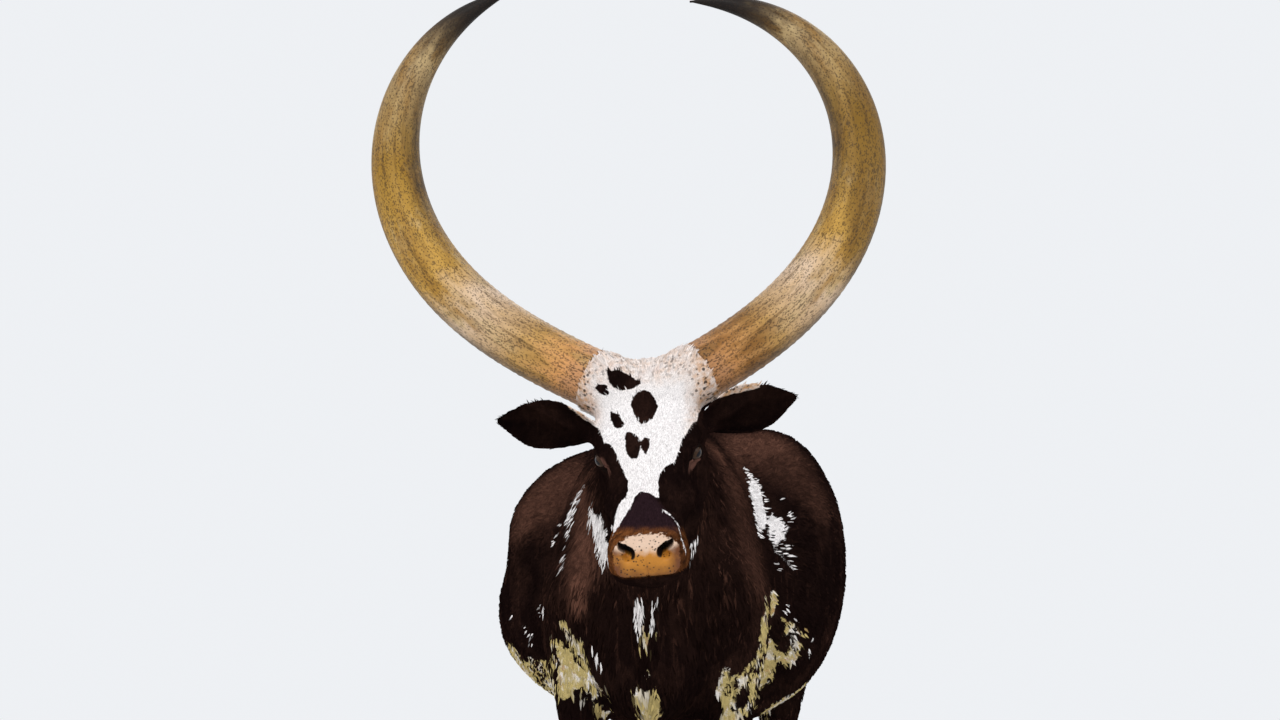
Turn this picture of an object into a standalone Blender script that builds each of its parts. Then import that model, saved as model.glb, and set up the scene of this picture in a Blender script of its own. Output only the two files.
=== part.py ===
"""A standing long-horned cow, life size, for a museum floor. It faces -Y with +Z up, and its left side is +X.

The flesh is modelled whole from lofts and muscles, smoothed as one skin, and parted into named lengths by thin cuts.
Horns, ears, eyes, claws, the nose and the tail are pieces of their own, seated in pockets of the flesh.
"""
import math
import random

import bmesh
import bpy
from mathutils import Matrix, Vector

# Gap kept between two solids that touch, and the grain of the smoothed flesh
GAP = 0.0003
GRAIN = 0.0075

# Heights and places of the joints between the named lengths of the legs, in metres
KNEE_CUT_HEIGHT = 0.44
HOCK_CUT_HEIGHT = 0.575
CORONET_HEIGHT = 0.062
FOOT_Y = {"front": -0.40, "hind": 0.66}
# The hindquarters stand a little to the left of the shoulders: where this starts, where it is full, how far
DRIFT = (-0.45, 0.85, 0.10)
STANCE = {"front_left": -0.035, "front_right": 0.03, "hind_left": -0.045, "hind_right": 0.05}

# Sections of the trunk from brisket to rump:
# place along the body, middle height, half width, rise, drop, how square the back and the belly are
TRUNK = (
    (-0.655, 0.87, 0.060, 0.08, 0.10, 2.0, 2.0),
    (-0.61, 0.89, 0.125, 0.17, 0.19, 2.0, 2.0),
    (-0.53, 0.93, 0.185, 0.27, 0.28, 1.9, 2.0),
    (-0.42, 0.97, 0.215, 0.335, 0.340, 1.6, 2.1),
    (-0.30, 0.98, 0.235, 0.345, 0.360, 1.6, 2.2),
    (-0.15, 0.97, 0.280, 0.335, 0.365, 1.8, 2.2),
    (0.00, 0.95, 0.325, 0.360, 0.350, 2.0, 2.2),
    (0.16, 0.93, 0.345, 0.396, 0.325, 2.2, 2.2),
    (0.31, 0.95, 0.335, 0.382, 0.325, 2.2, 2.2),
    (0.45, 1.00, 0.285, 0.336, 0.330, 2.2, 2.0),
    (0.58, 1.05, 0.245, 0.276, 0.290, 2.1, 2.0),
    (0.70, 1.10, 0.205, 0.205, 0.240, 2.0, 2.0),
    (0.80, 1.13, 0.150, 0.150, 0.190, 2.0, 2.0),
    (0.865, 1.14, 0.075, 0.085, 0.110, 2.0, 2.0),
)

# Neck from shoulders to skull: place, height, half width, rise, drop, side shift
NECK = (
    (-0.36, 1.04, 0.185, 0.265, 0.300, 0.000),
    (-0.50, 1.075, 0.155, 0.250, 0.285, 0.000),
    (-0.63, 1.115, 0.120, 0.215, 0.245, 0.004),
    (-0.75, 1.150, 0.102, 0.180, 0.205, 0.012),
    (-0.86, 1.180, 0.094, 0.155, 0.170, 0.020),
    (-0.95, 1.195, 0.088, 0.130, 0.140, 0.025),
)
NECK_TILT = 22

# Planes that part the head from the neck and the neck from the trunk: a point, and the way ahead
NAPE_CUT = ((0, -0.885, 1.25), (0, -0.998, 0.07))
CHEST_CUT = ((0, -0.53, 1.04), (0, -0.912, 0.409))

# The loose fold under the throat and brisket: place, height of its hanging edge, half thickness
DEWLAP = (
    (-0.92, 1.045, 0.016),
    (-0.85, 0.930, 0.020),
    (-0.76, 0.815, 0.022),
    (-0.68, 0.705, 0.025),
    (-0.58, 0.625, 0.030),
    (-0.46, 0.600, 0.034),
    (-0.34, 0.615, 0.030),
)
DEWLAP_ROOT_RISE = 0.22
DEWLAP_WAVE = 0.007

# Leg stations from top to foot: height, place ahead of or behind the foot, side, half width, half length
FORELEG = (
    (0.98, -0.045, 0.180, 0.060, 0.125),
    (0.88, -0.015, 0.188, 0.072, 0.125),
    (0.78, 0.015, 0.180, 0.070, 0.112),
    (0.69, 0.015, 0.168, 0.058, 0.086),
    (0.60, 0.003, 0.160, 0.048, 0.063),
    (0.51, -0.003, 0.157, 0.040, 0.049),
    (0.445, -0.010, 0.155, 0.041, 0.047),
    (0.395, -0.014, 0.155, 0.043, 0.047),
    (0.345, -0.006, 0.155, 0.035, 0.038),
    (0.28, 0.000, 0.155, 0.027, 0.032),
    (0.21, 0.002, 0.155, 0.026, 0.032),
    (0.165, 0.002, 0.155, 0.032, 0.038),
    (0.135, -0.002, 0.155, 0.037, 0.042),
    (0.105, -0.012, 0.155, 0.034, 0.037),
    (0.070, -0.030, 0.155, 0.038, 0.042),
    (0.045, -0.042, 0.155, 0.040, 0.046),
)
HINDLEG = (
    (1.08, -0.10, 0.150, 0.090, 0.150),
    (0.98, -0.09, 0.165, 0.098, 0.190),
    (0.88, -0.10, 0.175, 0.095, 0.200),
    (0.78, -0.11, 0.178, 0.080, 0.170),
    (0.70, -0.075, 0.172, 0.062, 0.125),
    (0.62, -0.020, 0.166, 0.047, 0.085),
    (0.56, 0.022, 0.163, 0.039, 0.064),
    (0.51, 0.045, 0.161, 0.039, 0.056),
    (0.455, 0.050, 0.160, 0.041, 0.052),
    (0.40, 0.038, 0.158, 0.036, 0.044),
    (0.33, 0.025, 0.157, 0.028, 0.036),
    (0.25, 0.015, 0.156, 0.026, 0.033),
    (0.185, 0.007, 0.156, 0.029, 0.036),
    (0.140, 0.000, 0.156, 0.037, 0.042),
    (0.105, -0.012, 0.156, 0.034, 0.037),
    (0.070, -0.030, 0.156, 0.038, 0.042),
    (0.045, -0.042, 0.156, 0.040, 0.046),
)
LEG_BEND_HEIGHT = 0.72

# Muscles and bones that show through the skin, each set on both sides:
# name: (side, place, height), (half width, half length, half height), pitch and inward lean in degrees
MUSCLES = {
    "shoulder blade": ((0.160, -0.37, 1.09), (0.045, 0.085, 0.185), -16, 14),
    "point of shoulder": ((0.155, -0.540, 0.915), (0.065, 0.080, 0.100), 0, 0),
    "triceps": ((0.190, -0.335, 0.88), (0.055, 0.120, 0.125), 30, 0),
    "rib wall": ((0.245, 0.02, 0.93), (0.105, 0.330, 0.250), 0, 0),
    "hook bone": ((0.215, 0.425, 1.195), (0.050, 0.070, 0.052), 0, 0),
    "pin bone": ((0.095, 0.815, 1.165), (0.042, 0.060, 0.050), 0, 0),
    "thigh": ((0.180, 0.60, 0.93), (0.090, 0.185, 0.225), 12, 0),
    "stifle": ((0.175, 0.465, 0.79), (0.060, 0.080, 0.105), 0, 0),
}
RUMEN = ((0.185, 0.17, 0.990), (0.192, 0.410, 0.325))
BELLY = ((-0.085, 0.12, 0.885), (0.352, 0.420, 0.255))
UPPER_RIBS = ((-0.128, 0.06, 1.040), (0.276, 0.430, 0.228))
CROP = ((0.0, -0.40, 1.245), (0.075, 0.190, 0.100))
BRISKET = ((0.0, -0.555, 0.765), (0.105, 0.130, 0.130))
HOCK_POINT = (0.545, 0.092, 0.160, 0.022, 0.026, 0.040)

# Blocks that part the legs from the trunk: inner side, front, back and top, and how the top slopes outward
LEG_CELL = {"front": (0.098, -0.62, -0.20, 0.70), "hind": (0.058, 0.335, 1.02, 0.80)}
LEG_CELL_WIDTH = 0.45
LEG_CELL_SLOPE = 0.55
UDDER_CELL = ((-0.118, 0.325, 0.40), (0.118, 0.575, 0.655))

# Udder and teats
UDDER = ((0.048, 0.455, 0.635), (0.066, 0.105, 0.088))
TEAT_LENGTH = 0.050
TEAT_RADIUS = 0.0115
TEAT_PLACES = ((0.050, 0.405), (0.046, 0.500))

# Head: where the poll stands and how the head is held, in degrees
HEAD_PLACE = (0.027, -0.93, 1.25)
HEAD_PITCH = 32
HEAD_YAW = -2.2
HEAD_ROLL = -4.4

# Sections of the skull from nape to lips:
# place ahead of the poll, middle height, half width, rise, drop, how square above and below
SKULL = (
    (-0.060, 0.045, 0.074, 0.070, 0.130, 2.0, 2.0),
    (-0.015, 0.040, 0.098, 0.095, 0.155, 2.3, 2.0),
    (0.050, 0.030, 0.111, 0.098, 0.160, 2.6, 1.9),
    (0.110, 0.022, 0.109, 0.086, 0.158, 2.7, 1.8),
    (0.170, 0.014, 0.096, 0.074, 0.145, 2.6, 1.8),
    (0.230, 0.004, 0.085, 0.064, 0.122, 2.4, 1.8),
    (0.290, -0.006, 0.077, 0.055, 0.098, 2.3, 1.8),
    (0.350, -0.013, 0.073, 0.047, 0.080, 2.2, 1.9),
    (0.405, -0.018, 0.075, 0.042, 0.073, 2.2, 2.6),
    (0.450, -0.023, 0.084, 0.039, 0.072, 2.4, 3.2),
    (0.482, -0.028, 0.080, 0.033, 0.066, 2.5, 3.4),
    (0.505, -0.035, 0.056, 0.022, 0.050, 2.2, 3.0),
)
# Forms of the head, in the same frame: (side, ahead, height), (half width, half length, half height), pitch
HEAD_PAIRS = {
    "brow": ((0.076, 0.156, 0.066), (0.036, 0.052, 0.026), 8),
    "orbit": ((0.081, 0.189, 0.043), (0.029, 0.042, 0.034), 0),
    "temple": ((0.096, 0.095, 0.040), (0.026, 0.055, 0.032), 0),
    "cheek": ((0.078, 0.110, -0.045), (0.038, 0.085, 0.080), 0),
    "cheek bone": ((0.074, 0.270, -0.014), (0.020, 0.085, 0.024), -8),
    "nostril wing": ((0.046, 0.470, -0.012), (0.029, 0.030, 0.026), 0),
    "lip": ((0.050, 0.440, -0.052), (0.036, 0.052, 0.022), 0),
    "jaw": ((0.068, 0.205, -0.070), (0.034, 0.100, 0.048), -8),
    "mandible": ((0.026, 0.325, -0.078), (0.040, 0.105, 0.036), -3),
}
HEAD_MIDDLES = {
    "crest": ((0.0, -0.012, 0.106), (0.090, 0.060, 0.050), 0),
    "forehead": ((0.0, 0.075, 0.070), (0.088, 0.125, 0.034), 10),
    "muzzle": ((0.0, 0.462, -0.030), (0.081, 0.045, 0.042), 0),
    "chin": ((0.0, 0.422, -0.092), (0.054, 0.060, 0.026), 6),
}
# Haired stump under each horn: distances back along the horn from its base, and radius
STUMP = ((0.135, 0.062), (0.060, 0.070), (-0.006, 0.0715))

# Horns: a flat curve whose heading turns from start to tip, leaning back from the poll
HORN_BASE = (0.112, -0.045, 0.110)
HORN_LEAN = 18
HORN_BOW = 0.05
HORN_RADIUS = 0.064
HORN_ROOT_DEPTH = 0.024
HORN_ROOT_TAPER = 0.72
HORN_RINGS = 24
HORN_SIDES = 4
# side: start heading, turn, how late the turn comes, length
HORNS = {"left": (31.2, 150.6, 1.52, 1.193), "right": (33.2, 136.3, 1.73, 1.214)}

# Eyes and their lids, in the head's frame
EYE_PLACE = (0.0890, 0.190, 0.043)
EYE_LOOK = (0.75, 0.60, 0.12)
EYE_RADIUS = 0.0205
LID_THICKNESS = 0.0042
LID_OPENING = (0.0185, 0.0115)

# Ears: a cupped leaf on a short root
EAR_ROOT = (0.112, 0.080, 0.046)
EAR_LENGTH = {"left": 0.203, "right": 0.219}
EAR_WIDTH = 0.108
EAR_SHELL = 0.0055
EAR_RISE = {"left": 17, "right": 16}
EAR_BACK = 12
EAR_CURL = (112, 62)
EAR_DROOP = 0.014
EAR_ROOT_PLACE = (-0.004, 0.010, 0)
EAR_ROOT_RADII = (0.028, 0.020, 0.025)

# Nose pad, nostrils and mouth, in the head's frame
NOSE_PAD = ((0.0, 0.490, -0.0205), (0.064, 0.0345))
NOSE_PAD_DEPTH = 0.016
NOSTRIL_TURN = (-34, 20)
NOSTRIL = ((0.040, 0.497, -0.014), (0.0150, 0.026, 0.0115))
MOUTH = (
    (0.064, 0.385, -0.061), (0.0765, 0.430, -0.066), (0.078, 0.450, -0.066), (0.077, 0.482, -0.065), (0.0535, 0.505, -0.063),
    (0.0, 0.507, -0.062),
)
MOUTH_RADIUS = 0.0034

# Claws of the cloven feet: half length and half width at the sole and at the coronet, and where they stand
CLAW_SOLE = (0.054, 0.0228)
CLAW_TOP = (0.045, 0.0205)
CLAW_SOLE_Y = -0.042
CLAW_TOP_Y = -0.020
CLAW_SPREAD = (0.0262, 0.0222)
CORONET_SLOPE = 15
DEWCLAW_RADIUS = 0.0110
DEWCLAW_LENGTH = 0.022
DEWCLAW_PLACE = (0.018, 0.034, 0.112)

# Tail: the dock's path in the middle plane (place, height, radius), and the hair of its switch
DOCK = (
    (0.800, 1.240, 0.034),
    (0.845, 1.240, 0.032),
    (0.885, 1.205, 0.028),
    (0.908, 1.130, 0.024),
    (0.920, 1.010, 0.020),
    (0.926, 0.880, 0.017),
    (0.928, 0.740, 0.014),
    (0.929, 0.640, 0.012),
    (0.929, 0.560, 0.011),
)
SWITCH_CUT_HEIGHT = 0.575
SWITCH_LENGTH = 0.34
SWITCH_RADIUS = 0.040
SWITCH_CORE_RADIUS = 0.019
LOCKS = 13
LOCK_LENGTH = 0.20
LOCK_WIDTH = 0.021
LOCK_THICKNESS = 0.006

# Share of the whole skin's triangles kept for the coarse parts and for the head and feet
BODY_TRIANGLES = 4600
FINE_TRIANGLES = 9200

COLOURS = {
    "hide": ((0.045, 0.025, 0.020, 1), 0.55),
    "horn": ((0.62, 0.42, 0.19, 1), 0.45),
    "claw": ((0.05, 0.042, 0.036, 1), 0.40),
    "nose": ((0.56, 0.30, 0.18, 1), 0.35),
    "eye": ((0.012, 0.008, 0.006, 1), 0.08),
    "switch": ((0.70, 0.64, 0.55, 1), 0.70),
}
SIDES = (("left", 1), ("right", -1))


def drift(y):
    """How far to the left the middle of the body stands at a place along it."""
    start, full, reach = DRIFT
    return reach * min(1.0, max(0.0, (y - start) / (full - start)))


def clear_scene():
    for obj in list(bpy.data.objects):
        bpy.data.objects.remove(obj, do_unlink=True)


def collection(name, shown):
    made = bpy.data.collections.new(name)
    bpy.context.scene.collection.children.link(made)
    made.hide_render = not shown
    return made


def material(name):
    found = bpy.data.materials.get(name)
    if found:
        return found
    colour, roughness = COLOURS[name]
    made = bpy.data.materials.new(name)
    made.use_nodes = True
    shader = made.node_tree.nodes["Principled BSDF"]
    shader.inputs["Base Color"].default_value = colour
    shader.inputs["Roughness"].default_value = roughness
    shader.inputs["Metallic"].default_value = 0.0
    return made


def mesh_object(name, bm, home, finish=None):
    """Turns a bmesh into an object with its faces pointing out."""
    bmesh.ops.remove_doubles(bm, verts=bm.verts, dist=1e-6)
    bmesh.ops.recalc_face_normals(bm, faces=bm.faces)
    mesh = bpy.data.meshes.new(name)
    bm.to_mesh(mesh)
    bm.free()
    obj = bpy.data.objects.new(name, mesh)
    home.objects.link(obj)
    if finish:
        mesh.materials.append(material(finish))
    return obj


def apply_modifiers(obj):
    """Replaces the object's mesh with what its modifiers make of it."""
    graph = bpy.context.evaluated_depsgraph_get()
    made = bpy.data.meshes.new_from_object(obj.evaluated_get(graph))
    obj.modifiers.clear()
    obj.data = made
    return obj


def is_closed(mesh):
    """True where every edge joins exactly two faces."""
    uses = {}
    for face in mesh.polygons:
        for edge in face.edge_keys:
            uses[edge] = uses.get(edge, 0) + 1
    return bool(uses) and all(count == 2 for count in uses.values())


def boolean(obj, other, operation):
    """Cuts, joins or keeps the common part of two closed meshes, and applies it."""
    before = obj.data.copy()
    for solver in ("EXACT", "MANIFOLD"):
        obj.data = before.copy()
        modifier = obj.modifiers.new(operation.lower(), "BOOLEAN")
        modifier.operation = operation
        modifier.solver = solver
        modifier.object = other
        apply_modifiers(obj)
        if is_closed(obj.data):
            break
    else:
        print("left open:", obj.name, other.name)
    return obj


def keep_largest(obj):
    """Keeps only the closed surface with most volume."""
    bm = bmesh.new()
    bm.from_mesh(obj.data)
    unseen = set(bm.verts)
    islands = []
    while unseen:
        island = set()
        edge = {unseen.pop()}
        while edge:
            vert = edge.pop()
            island.add(vert)
            for link in vert.link_edges:
                other = link.other_vert(vert)
                if other in unseen:
                    unseen.discard(other)
                    edge.add(other)
        islands.append(island)
    if len(islands) > 1:
        def size(island):
            xs = [v.co for v in island]
            return math.prod(max(c[k] for c in xs) - min(c[k] for c in xs) for k in range(3))
        largest = max(islands, key=size)
        bmesh.ops.delete(bm, geom=[v for v in bm.verts if v not in largest], context="VERTS")
    bm.to_mesh(obj.data)
    bm.free()
    return obj


def grown(obj, distance, home):
    """A copy of a closed shape, moved out by a distance along its normals."""
    bm = bmesh.new()
    bm.from_mesh(obj.data)
    bm.normal_update()
    for vert in bm.verts:
        vert.co += vert.normal * distance * vert.calc_shell_factor()
    return mesh_object(obj.name + "_pocket", bm, home)


def triangulate(obj):
    """Splits every face, so that a shape and its grown copy bend along the same lines."""
    bm = bmesh.new()
    bm.from_mesh(obj.data)
    bmesh.ops.triangulate(bm, faces=bm.faces)
    bm.to_mesh(obj.data)
    bm.free()


def seat(obj, piece, home):
    """Cuts a pocket for a piece in the flesh that it grows from."""
    triangulate(piece)
    boolean(obj, grown(piece, GAP, home), "DIFFERENCE")
    return keep_largest(obj)


def egg_ring(centre, across, up, half_width, rise, drop, top_power=2.0, low_power=2.0, sides=28):
    """An egg-shaped outline about a point: its upper and lower halves may differ in height and in squareness."""
    points = []
    for step in range(sides):
        angle = 2 * math.pi * step / sides
        c, s = math.cos(angle), math.sin(angle)
        power = top_power if s >= 0 else low_power
        reach = rise if s >= 0 else drop
        x = math.copysign(abs(c) ** (2 / power), c) * half_width
        y = math.copysign(abs(s) ** (2 / power), s) * reach
        points.append(Vector(centre) + Vector(across) * x + Vector(up) * y)
    return points


def loft(name, rings, home, finish=None):
    """Skins a row of outlines of equal count and closes both ends."""
    bm = bmesh.new()
    rows = [[bm.verts.new(point) for point in ring] for ring in rings]
    for one, two in zip(rows, rows[1:]):
        for a, b in zip(range(len(one)), [*range(1, len(one)), 0]):
            bm.faces.new((one[a], one[b], two[b], two[a]))
    bm.faces.new(rows[0])
    bm.faces.new(rows[-1])
    return mesh_object(name, bm, home, finish)


def ball(name, centre, radii, home, turn=None, detail=(20, 12), finish=None):
    """A ball stretched to three half sizes, turned, and put in place."""
    bm = bmesh.new()
    bmesh.ops.create_uvsphere(bm, u_segments=detail[0], v_segments=detail[1], radius=1)
    shape = Matrix.Diagonal((*radii, 1))
    place = Matrix.Translation(centre) @ (turn.to_4x4() if turn else Matrix.Identity(4)) @ shape
    bmesh.ops.transform(bm, matrix=place, verts=bm.verts)
    return mesh_object(name, bm, home, finish)


def box(name, low, high, home, place=None):
    """A box between two corners, put in place."""
    bm = bmesh.new()
    bmesh.ops.create_cube(bm, size=1)
    low, high = Vector(low), Vector(high)
    shape = Matrix.Translation((low + high) / 2) @ Matrix.Diagonal((*(high - low), 1))
    bmesh.ops.transform(bm, matrix=(place or Matrix.Identity(4)) @ shape, verts=bm.verts)
    return mesh_object(name, bm, home)


def slab(name, point, normal, depth, reach, home, inset=0.0):
    """A deep block that begins at a plane and reaches the way its normal points."""
    turn = Vector(normal).to_track_quat("Z", "X").to_matrix().to_4x4()
    place = Matrix.Translation(point) @ turn
    return box(name, (-reach, -reach, inset), (reach, reach, depth), home, place)


def tube(name, points, radii, home, sides=4, finish=None):
    """A round length along given points, made a closed mesh."""
    curve = bpy.data.curves.new(name, "CURVE")
    curve.dimensions = "3D"
    curve.bevel_depth = 1.0
    curve.bevel_resolution = sides
    curve.use_fill_caps = True
    spline = curve.splines.new("POLY")
    spline.points.add(len(points) - 1)
    for spot, point, radius in zip(spline.points, points, radii):
        spot.co = (*point, 1)
        spot.radius = radius
    guide = bpy.data.objects.new(name, curve)
    home.objects.link(guide)
    graph = bpy.context.evaluated_depsgraph_get()
    mesh = bpy.data.meshes.new_from_object(guide.evaluated_get(graph))
    bpy.data.objects.remove(guide)
    bm = bmesh.new()
    bm.from_mesh(mesh)
    bmesh.ops.remove_doubles(bm, verts=bm.verts, dist=1e-5)
    return mesh_object(name, bm, home, finish)


def pitch_turn(degrees):
    return Matrix.Rotation(math.radians(degrees), 3, "X")


def head_matrix():
    """The head's own frame: X across, -Y ahead, Z above, as it is held."""
    turn = (
        Matrix.Rotation(math.radians(HEAD_YAW), 4, "Z")
        @ Matrix.Rotation(math.radians(HEAD_ROLL), 4, "Y")
        @ Matrix.Rotation(math.radians(HEAD_PITCH), 4, "X")
    )
    return Matrix.Translation(HEAD_PLACE) @ turn


HEAD = head_matrix()


def head_point(across, ahead, height):
    return HEAD @ Vector((across, -ahead, height))


def trunk_forms(home):
    """The barrel of the body, with the muscles and bones that show."""
    rings = [
        egg_ring((drift(y), y, mid), (1, 0, 0), (0, 0, 1), half, rise, drop, top, low)
        for y, mid, half, rise, drop, top, low in TRUNK
    ]
    loft("trunk", rings, home)
    for name, ((x, y, z), radii, pitch, lean) in MUSCLES.items():
        for side, sign in SIDES:
            turn = Matrix.Rotation(math.radians(-lean * sign), 3, "Y") @ pitch_turn(pitch)
            ball(f"{name} {side}", (x * sign + drift(y), y, z), radii, home, turn)
    bulges = {"rumen": RUMEN, "belly": BELLY, "upper ribs": UPPER_RIBS, "crop": CROP, "brisket": BRISKET}
    for name, ((x, y, z), radii) in bulges.items():
        ball(name, (x + drift(y), y, z), radii, home)


def neck_forms(home):
    """The neck, in sections square to its own slope, and the loose fold that hangs from it."""
    lean = math.radians(NECK_TILT)
    up = (0, math.sin(lean), math.cos(lean))
    rings = [
        egg_ring((shift, y, z), (1, 0, 0), up, half, rise, drop, 1.8, 1.7)
        for y, z, half, rise, drop, shift in NECK
    ]
    loft("neck core", rings, home)
    rings = []
    for order, (y, low, half) in enumerate(DEWLAP):
        sway = DEWLAP_WAVE * (-1) ** order
        middle = low + DEWLAP_ROOT_RISE / 2
        ring = egg_ring((sway, y, middle), (1, 0, 0), (0, 0, 1), half, DEWLAP_ROOT_RISE / 2,
                        DEWLAP_ROOT_RISE / 2, 4, 2.6, 20)
        rings.append(ring)
    loft("dewlap fold", rings, home)


def leg_forms(home):
    """Four legs as lofts of level sections, with the point of each hock."""
    for pair, stations in (("front", FORELEG), ("hind", HINDLEG)):
        foot_y = FOOT_Y[pair]
        for side, sign in SIDES:
            name = f"{pair}_{side}"
            rings = []
            for z, ahead, across, half_width, half_length in stations:
                centre = (across * sign + drift(foot_y), leg_y(name, z, foot_y + ahead), z)
                ring = egg_ring(centre, (1, 0, 0), (0, 1, 0), half_width, half_length, half_length, 2.2, 2.2, 20)
                rings.append(ring)
            loft(f"leg {name}", rings, home)
            if pair == "hind":
                z, behind, across, rx, ry, rz = HOCK_POINT
                place = (across * sign + drift(foot_y), leg_y(name, z, foot_y + behind), z)
                ball(f"hock {side}", place, (rx, ry, rz), home)


def leg_y(name, height, y):
    """Moves a leg's station by its stance, growing from nothing at the elbow to all of it at the floor."""
    return y + STANCE[name] * max(0.0, 1 - height / LEG_BEND_HEIGHT)


def udder_forms(home):
    (across, y, z), radii = UDDER
    middle = drift(y)
    for side, sign in SIDES:
        ball(f"udder half {side}", (middle + across * sign, y, z), radii, home)
        for order, (teat_x, teat_y) in enumerate(TEAT_PLACES):
            low = z - radii[2] - TEAT_LENGTH
            points = [(middle + teat_x * sign, teat_y, height) for height in (z, low + TEAT_LENGTH / 2, low + 0.01, low)]
            reach = [TEAT_RADIUS * 1.5, TEAT_RADIUS * 1.1, TEAT_RADIUS, TEAT_RADIUS * 0.5]
            tube(f"teat {side} {order}", points, reach, home)


def head_forms(home):
    """The skull and the soft forms of the face, in the head's own frame."""
    before = set(home.objects)
    rings = [
        egg_ring((0, -ahead, mid), (1, 0, 0), (0, 0, 1), half, rise, drop, top, low)
        for ahead, mid, half, rise, drop, top, low in SKULL
    ]
    loft("skull", rings, home)
    for name, ((across, ahead, height), radii, pitch) in HEAD_PAIRS.items():
        for side, sign in SIDES:
            ball(f"{name} {side}", (across * sign, -ahead, height), radii, home, pitch_turn(pitch))
    for name, ((across, ahead, height), radii, pitch) in HEAD_MIDDLES.items():
        ball(name, (across, -ahead, height), radii, home, pitch_turn(pitch))
    for obj in set(home.objects) - before:
        obj.data.transform(HEAD)
    for side, sign in SIDES:
        points, _ = horn_line(side, sign)
        ahead = (points[2] - points[1]).normalized()
        tube(f"stump {side}", [points[1] - ahead * back for back, _ in STUMP], [r for _, r in STUMP], home, 8)


def horn_line(side, sign):
    """Points along a horn and its radius at each: the first is the end of its root, inside the head."""
    start, turn, lateness, length = HORNS[side]
    lean = math.radians(HORN_LEAN)
    held = Matrix.Rotation(math.radians(HEAD_YAW), 3, "Z") @ Matrix.Rotation(math.radians(HEAD_ROLL), 3, "Y")
    fine = 8
    steps = HORN_RINGS * fine
    out, rise = 0.0, 0.0
    flat = [(0.0, 0.0, 0.0)]
    for step in range(steps):
        heading = math.radians(start + turn * ((step + 0.5) / steps) ** lateness)
        out += math.cos(heading) * length / steps
        rise += math.sin(heading) * length / steps
        if (step + 1) % fine == 0:
            flat.append((out, rise, HORN_BOW * math.sin(math.pi * (step + 1) / steps)))
    heading = math.radians(start)
    flat.insert(0, (-math.cos(heading) * HORN_ROOT_DEPTH, -math.sin(heading) * HORN_ROOT_DEPTH, 0.0))
    points = []
    for out, rise, bow in flat:
        across = sign * (HORN_BASE[0] + out)
        back = HORN_BASE[1] + rise * math.sin(lean) + bow * math.cos(lean)
        up = HORN_BASE[2] + rise * math.cos(lean) - bow * math.sin(lean)
        points.append(Vector(HEAD_PLACE) + held @ Vector((across, back, up)))
    shares = [k / HORN_RINGS for k in range(HORN_RINGS + 1)]
    radii = [HORN_RADIUS * HORN_ROOT_TAPER]
    radii += [max(0.0025, HORN_RADIUS * (1 - share ** 3) ** 0.8) for share in shares]
    return points, radii


def smooth_flesh(forms):
    """One closed skin over every form: joined, re-meshed at an even grain, and smoothed."""
    bm = bmesh.new()
    for obj in forms.objects:
        bm.from_mesh(obj.data)
    flesh = mesh_object("flesh", bm, bpy.context.scene.collection)
    grain = flesh.modifiers.new("grain", "REMESH")
    grain.mode = "VOXEL"
    grain.voxel_size = GRAIN
    apply_modifiers(flesh)
    broad = flesh.vertex_groups.new(name="broad forms")
    for vert in flesh.data.vertices:
        share = broad_share(vert.co)
        if share > 0:
            broad.add([vert.index], share, "REPLACE")
    for name, steps, group in (("melt", 150, "broad forms"), ("soften", 8, "")):
        soften = flesh.modifiers.new(name, "SMOOTH")
        soften.factor = 0.5
        soften.iterations = steps
        soften.vertex_group = group
    apply_modifiers(flesh)
    return flesh


def broad_share(point):
    """1 on the trunk and neck, where muscles melt together, falling to 0 on the head and the lower legs."""
    above_legs = min(1.0, max(0.0, (point.z - 0.58) / 0.16))
    behind_head = min(1.0, max(0.0, (point.y + 0.93) / 0.12))
    return above_legs * behind_head


def coarse(flesh, triangles, name, home):
    """A copy of the skin with fewer triangles."""
    copy = bpy.data.objects.new(name, flesh.data.copy())
    home.objects.link(copy)
    fewer = copy.modifiers.new("fewer", "DECIMATE")
    faces = sum(len(face.vertices) - 2 for face in flesh.data.polygons)
    fewer.ratio = triangles / faces
    return apply_modifiers(copy)


def piece_of(flesh, name, home, keep, drop=(), finish="hide"):
    """The part of the flesh inside every cell in keep and outside every cell in drop."""
    obj = bpy.data.objects.new(name, flesh.data.copy())
    home.objects.link(obj)
    for cell in keep:
        boolean(obj, cell, "INTERSECT")
    for cell in drop:
        boolean(obj, cell, "DIFFERENCE")
    keep_largest(obj)
    obj.data.materials.clear()
    obj.data.materials.append(material(finish))
    return obj


def leg_cell(name, pair, sign, home, growth):
    """The block that parts a leg from the trunk: its top slopes up to the outer side. Growth moves its faces out."""
    inner, front, back, top = LEG_CELL[pair]
    outer = inner + LEG_CELL_WIDTH
    low = Vector((inner - growth, front - growth, -0.2))
    high = Vector((outer, back + growth, top + growth))
    cell = box(name, low, high, home)
    for vert in cell.data.vertices:
        if vert.co.z > 0:
            vert.co.z += (vert.co.x - inner) * LEG_CELL_SLOPE
    if sign < 0:
        cell.data.transform(Matrix.Scale(-1, 4, (1, 0, 0)))
        cell.data.flip_normals()
    cell.data.transform(Matrix.Translation((drift(FOOT_Y[pair]), 0, 0)))
    return cell


def coronet_plane(name, foot_y):
    """A point and normal of the sloping line where hide meets horn on a foot."""
    centre = Vector((0, leg_y(name, CORONET_HEIGHT, foot_y) + CLAW_TOP_Y, CORONET_HEIGHT))
    slope = math.radians(CORONET_SLOPE)
    return centre, Vector((0, math.sin(slope), math.cos(slope)))


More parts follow.
